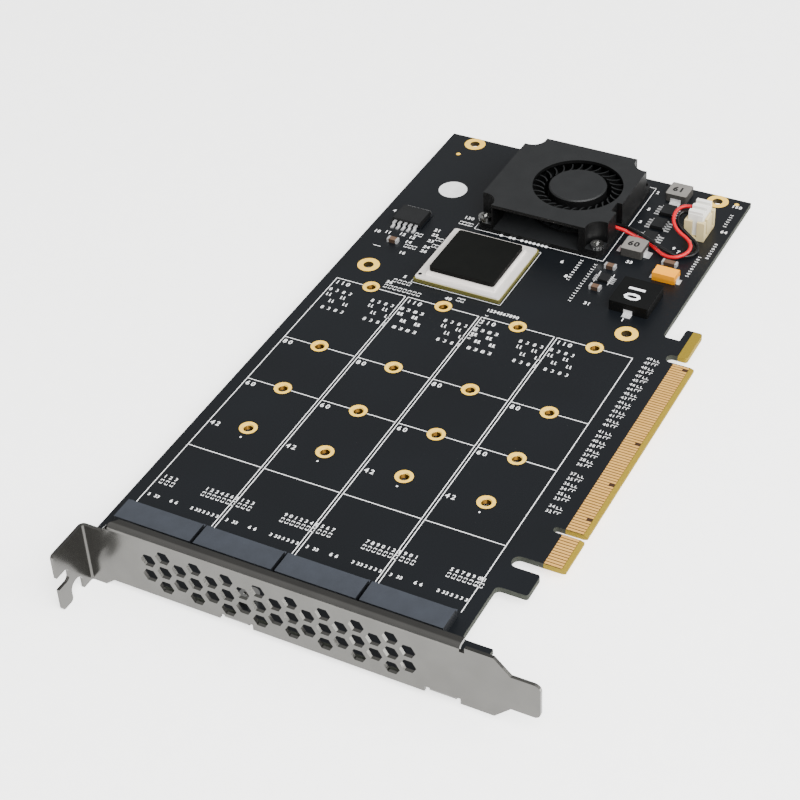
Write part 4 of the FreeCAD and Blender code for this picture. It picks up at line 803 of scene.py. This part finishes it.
# %% Numbers and part marks round the chips
# Places and pitches are in millimetres.
NUMBERS = [(106.1, 108.3, "4"), (94.6, 108.6, "10"), (95.3, 105.4, "11"), (96.0, 101.0, "12"),
           (93.2, 97.6, "14"), (95.6, 97.6, "15"), (87.6, 96.8, "16"), (101.8, 92.4, "21"),
           (99.4, 92.0, "22"), (96.2, 91.8, "23"), (93.0, 91.6, "24"), (90.8, 91.4, "26"),
           (111.4, 87.2, "130"), (77.4, 90.0, "5"), (73.3, 93.4, "36"), (73.0, 74.6, "40"),
           (102.2, 52.2, "6"), (96.3, 48.4, "8"), (146.2, 40.4, "2"), (137.0, 39.6, "5"),
           (129.9, 39.4, "3"), (109.8, 35.2, "33"), (86.8, 38.4, "31"), (83.8, 26.0, "1"),
           (121.2, 25.6, "9"), (120.0, 23.8, "7"), (148.3, 17.4, "150"), (134.6, 15.9, "64")]
PLACE_ROWS = [(91.8, 96.4, 3, 1.4), (98.2, 96.2, 2, 1.4), (98.4, 89.4, 2, 1.3),
              (95.0, 89.0, 3, 1.2), (109.0, 86.9, 4, 1.1), (71.9, 92.6, 8, 1.5),
              (75.3, 91.4, 4, 1.5), (74.4, 70.8, 2, 1.3)]
FIGURE_ROWS = [(87.0, 107.5, 42.9, "73"), (96.0, 108.2, 47.3, "38"), (138.4, 146.0, 16.2, "53"),
               (111.0, 123.0, 17.3, "58"), (121.4, 130.6, 15.2, "85"), (60.0, 72.5, 60.9, "03")]
FIGURE_PITCH = 1.25

for x, y, text in NUMBERS:
    numeral(ink, text, x * MM, y * MM, 1.3 * MM)
for x, y, count, pitch in PLACE_ROWS:
    for index in range(count):
        part_place(ink, x * MM, (y - index * pitch) * MM, 0.9 * MM)
for start, stop, y, figures in FIGURE_ROWS:
    for step in range(int((stop - start) / FIGURE_PITCH)):
        numeral(ink, figures[step % 2], (start + FIGURE_PITCH * step) * MM, y * MM, 0.95 * MM,
                turn=180.0, weight=0.0)
numeral(ink, "1234567890", 72.8 * MM, 61.5 * MM, 1.2 * MM)
make_piece("printed_marks_by_chips", ink, "print", "label_paper")

# %% [markdown]
# The coils carry plain numbers on their tops: white on the black one, dark on the grey ones.

# %% Numbers on the coils
SMALL_COILS = {"phase_coil_1": "60", "phase_coil_2": "61"}

ink = bmesh.new()
coil_low, coil_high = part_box("supply_coil")
numeral(ink, "10", coil_high.x - 2.9 * MM, coil_high.y - 3.2 * MM, 4.6 * MM, turn=180.0,
        z=coil_high.z)
make_piece("supply_coil_number", ink, "print", "label_paper")
ink = bmesh.new()
for name, text in SMALL_COILS.items():
    coil_low, coil_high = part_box(name)
    middle = (coil_low + coil_high) / 2
    numeral(ink, text, middle.x - 1.1 * MM, middle.y + 2.0 * MM, 2.2 * MM, z=coil_high.z,
            weight=0.06)
make_piece("phase_coil_numbers", ink, "dark_print", "label_paper")

# %% [markdown]
# Each lead stands on a tinned land that reaches a little past its foot, where the solder climbs.
# A land is a bare copper rectangle with a thin coat of tin, so it is a flat bright strip.

# %% Solder lands
# For each chip with leads: the pitch of its leads and the width of a land, in millimetres.
LEADED_CHIPS = {"power_driver_1": (1.27, 0.6), "power_driver_2": (1.27, 0.6),
                "power_driver_3": (1.27, 0.6), "sensor_chip": (0.8, 0.45)}
LEAD_LAND, END_LAND = 1.5 * MM, 1.4 * MM
LEAD_REACH, END_REACH = 0.15 * MM, 0.2 * MM


def land(tin, x, y, length, width):
    """A flat tinned rectangle on the board, centred on x and y."""
    strip(tin, (x - length / 2, y), (x + length / 2, y), width)


tin = bmesh.new()
for name, (pitch, width) in LEADED_CHIPS.items():
    lead_low, lead_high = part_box(f"{name}_leads")
    middle = (lead_low.x + lead_high.x) / 2
    for step in (-1.5, -0.5, 0.5, 1.5):
        for y in (lead_low.y - LEAD_REACH, lead_high.y + LEAD_REACH):
            land(tin, middle + step * pitch * MM, y, width * MM, LEAD_LAND)
for name in ("supply_coil_terminals", "phase_coil_2_terminals"):
    end_low, end_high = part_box(name)
    for x in (end_low.x - END_REACH, end_high.x + END_REACH):
        land(tin, x, (end_low.y + end_high.y) / 2, END_LAND, end_high.y - end_low.y)
for name in ("phase_coil_1_terminals", "tantalum_terminals"):
    end_low, end_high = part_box(name)
    for y in (end_low.y - END_REACH, end_high.y + END_REACH):
        land(tin, (end_low.x + end_high.x) / 2, y, end_high.x - end_low.x, END_LAND)
make_piece("solder_lands", tin, "tin", "tinned_metal")

# %% [markdown]
# Each nut's bore has a fine thread for the drive's end screw. A real thread is a helix, but at so
# small a pitch a stack of ridges looks the same, and a spun zigzag closes on itself where a helix
# would need end caps. The pitch and depth are for looks only: the solid's bore is plain.

# %% Threads in the drive nuts
THREAD_PITCH, THREAD_TOP = 0.3 * MM, -0.25 * MM
THREAD_ROOT, THREAD_CREST = 1.25 * MM, 1.1 * MM
ZIGZAG_POINTS, THREAD_SIDES = 9, 20

threads = bmesh.new()
for row in ROWS:
    for length in DRIVE_LENGTHS.values():
        axis = Vector((SOCKET_X + length * MM, row, 0))
        profile = []
        for step in range(ZIGZAG_POINTS):
            radius = THREAD_CREST if step % 2 else THREAD_ROOT
            profile.append(threads.verts.new(
                axis + Vector((radius, 0, THREAD_TOP - step * THREAD_PITCH / 2))))
        edges = [threads.edges.new(pair) for pair in zip(profile, profile[1:])]
        bmesh.ops.spin(threads, geom=profile + edges, cent=axis, axis=(0, 0, 1),
                       angle=math.tau, steps=THREAD_SIDES, use_merge=True)
make_piece("drive_nut_threads", threads, "thread", "tinned_metal")

# %% [markdown]
# Two bare gold spots let the placing machine find its bearings, and a black dot on the lid's
# flange tells which corner comes first.

# %% Fiducial spots and the lid's dot
FIDUCIALS = [(142.4, 104.2), (150.2, 16.4)]
LID_DOT = Vector((79.2, 85.3, 1.56)) * MM
LID_DOT_RADIUS = 0.6 * MM

spots = bmesh.new()
for x, y in FIDUCIALS:
    dot(spots, x * MM, y * MM, 0.7 * MM)
make_piece("fiducial_spots", spots, "ring_gold", "gold_plating")
mark = bmesh.new()
bmesh.ops.create_cone(mark, cap_ends=True, segments=20, radius1=LID_DOT_RADIUS,
                      radius2=LID_DOT_RADIUS, depth=PRINT_HEIGHT,
                      matrix=Matrix.Translation(LID_DOT))
make_piece("lid_corner_dot", mark, "black_pvc", "package_epoxy")
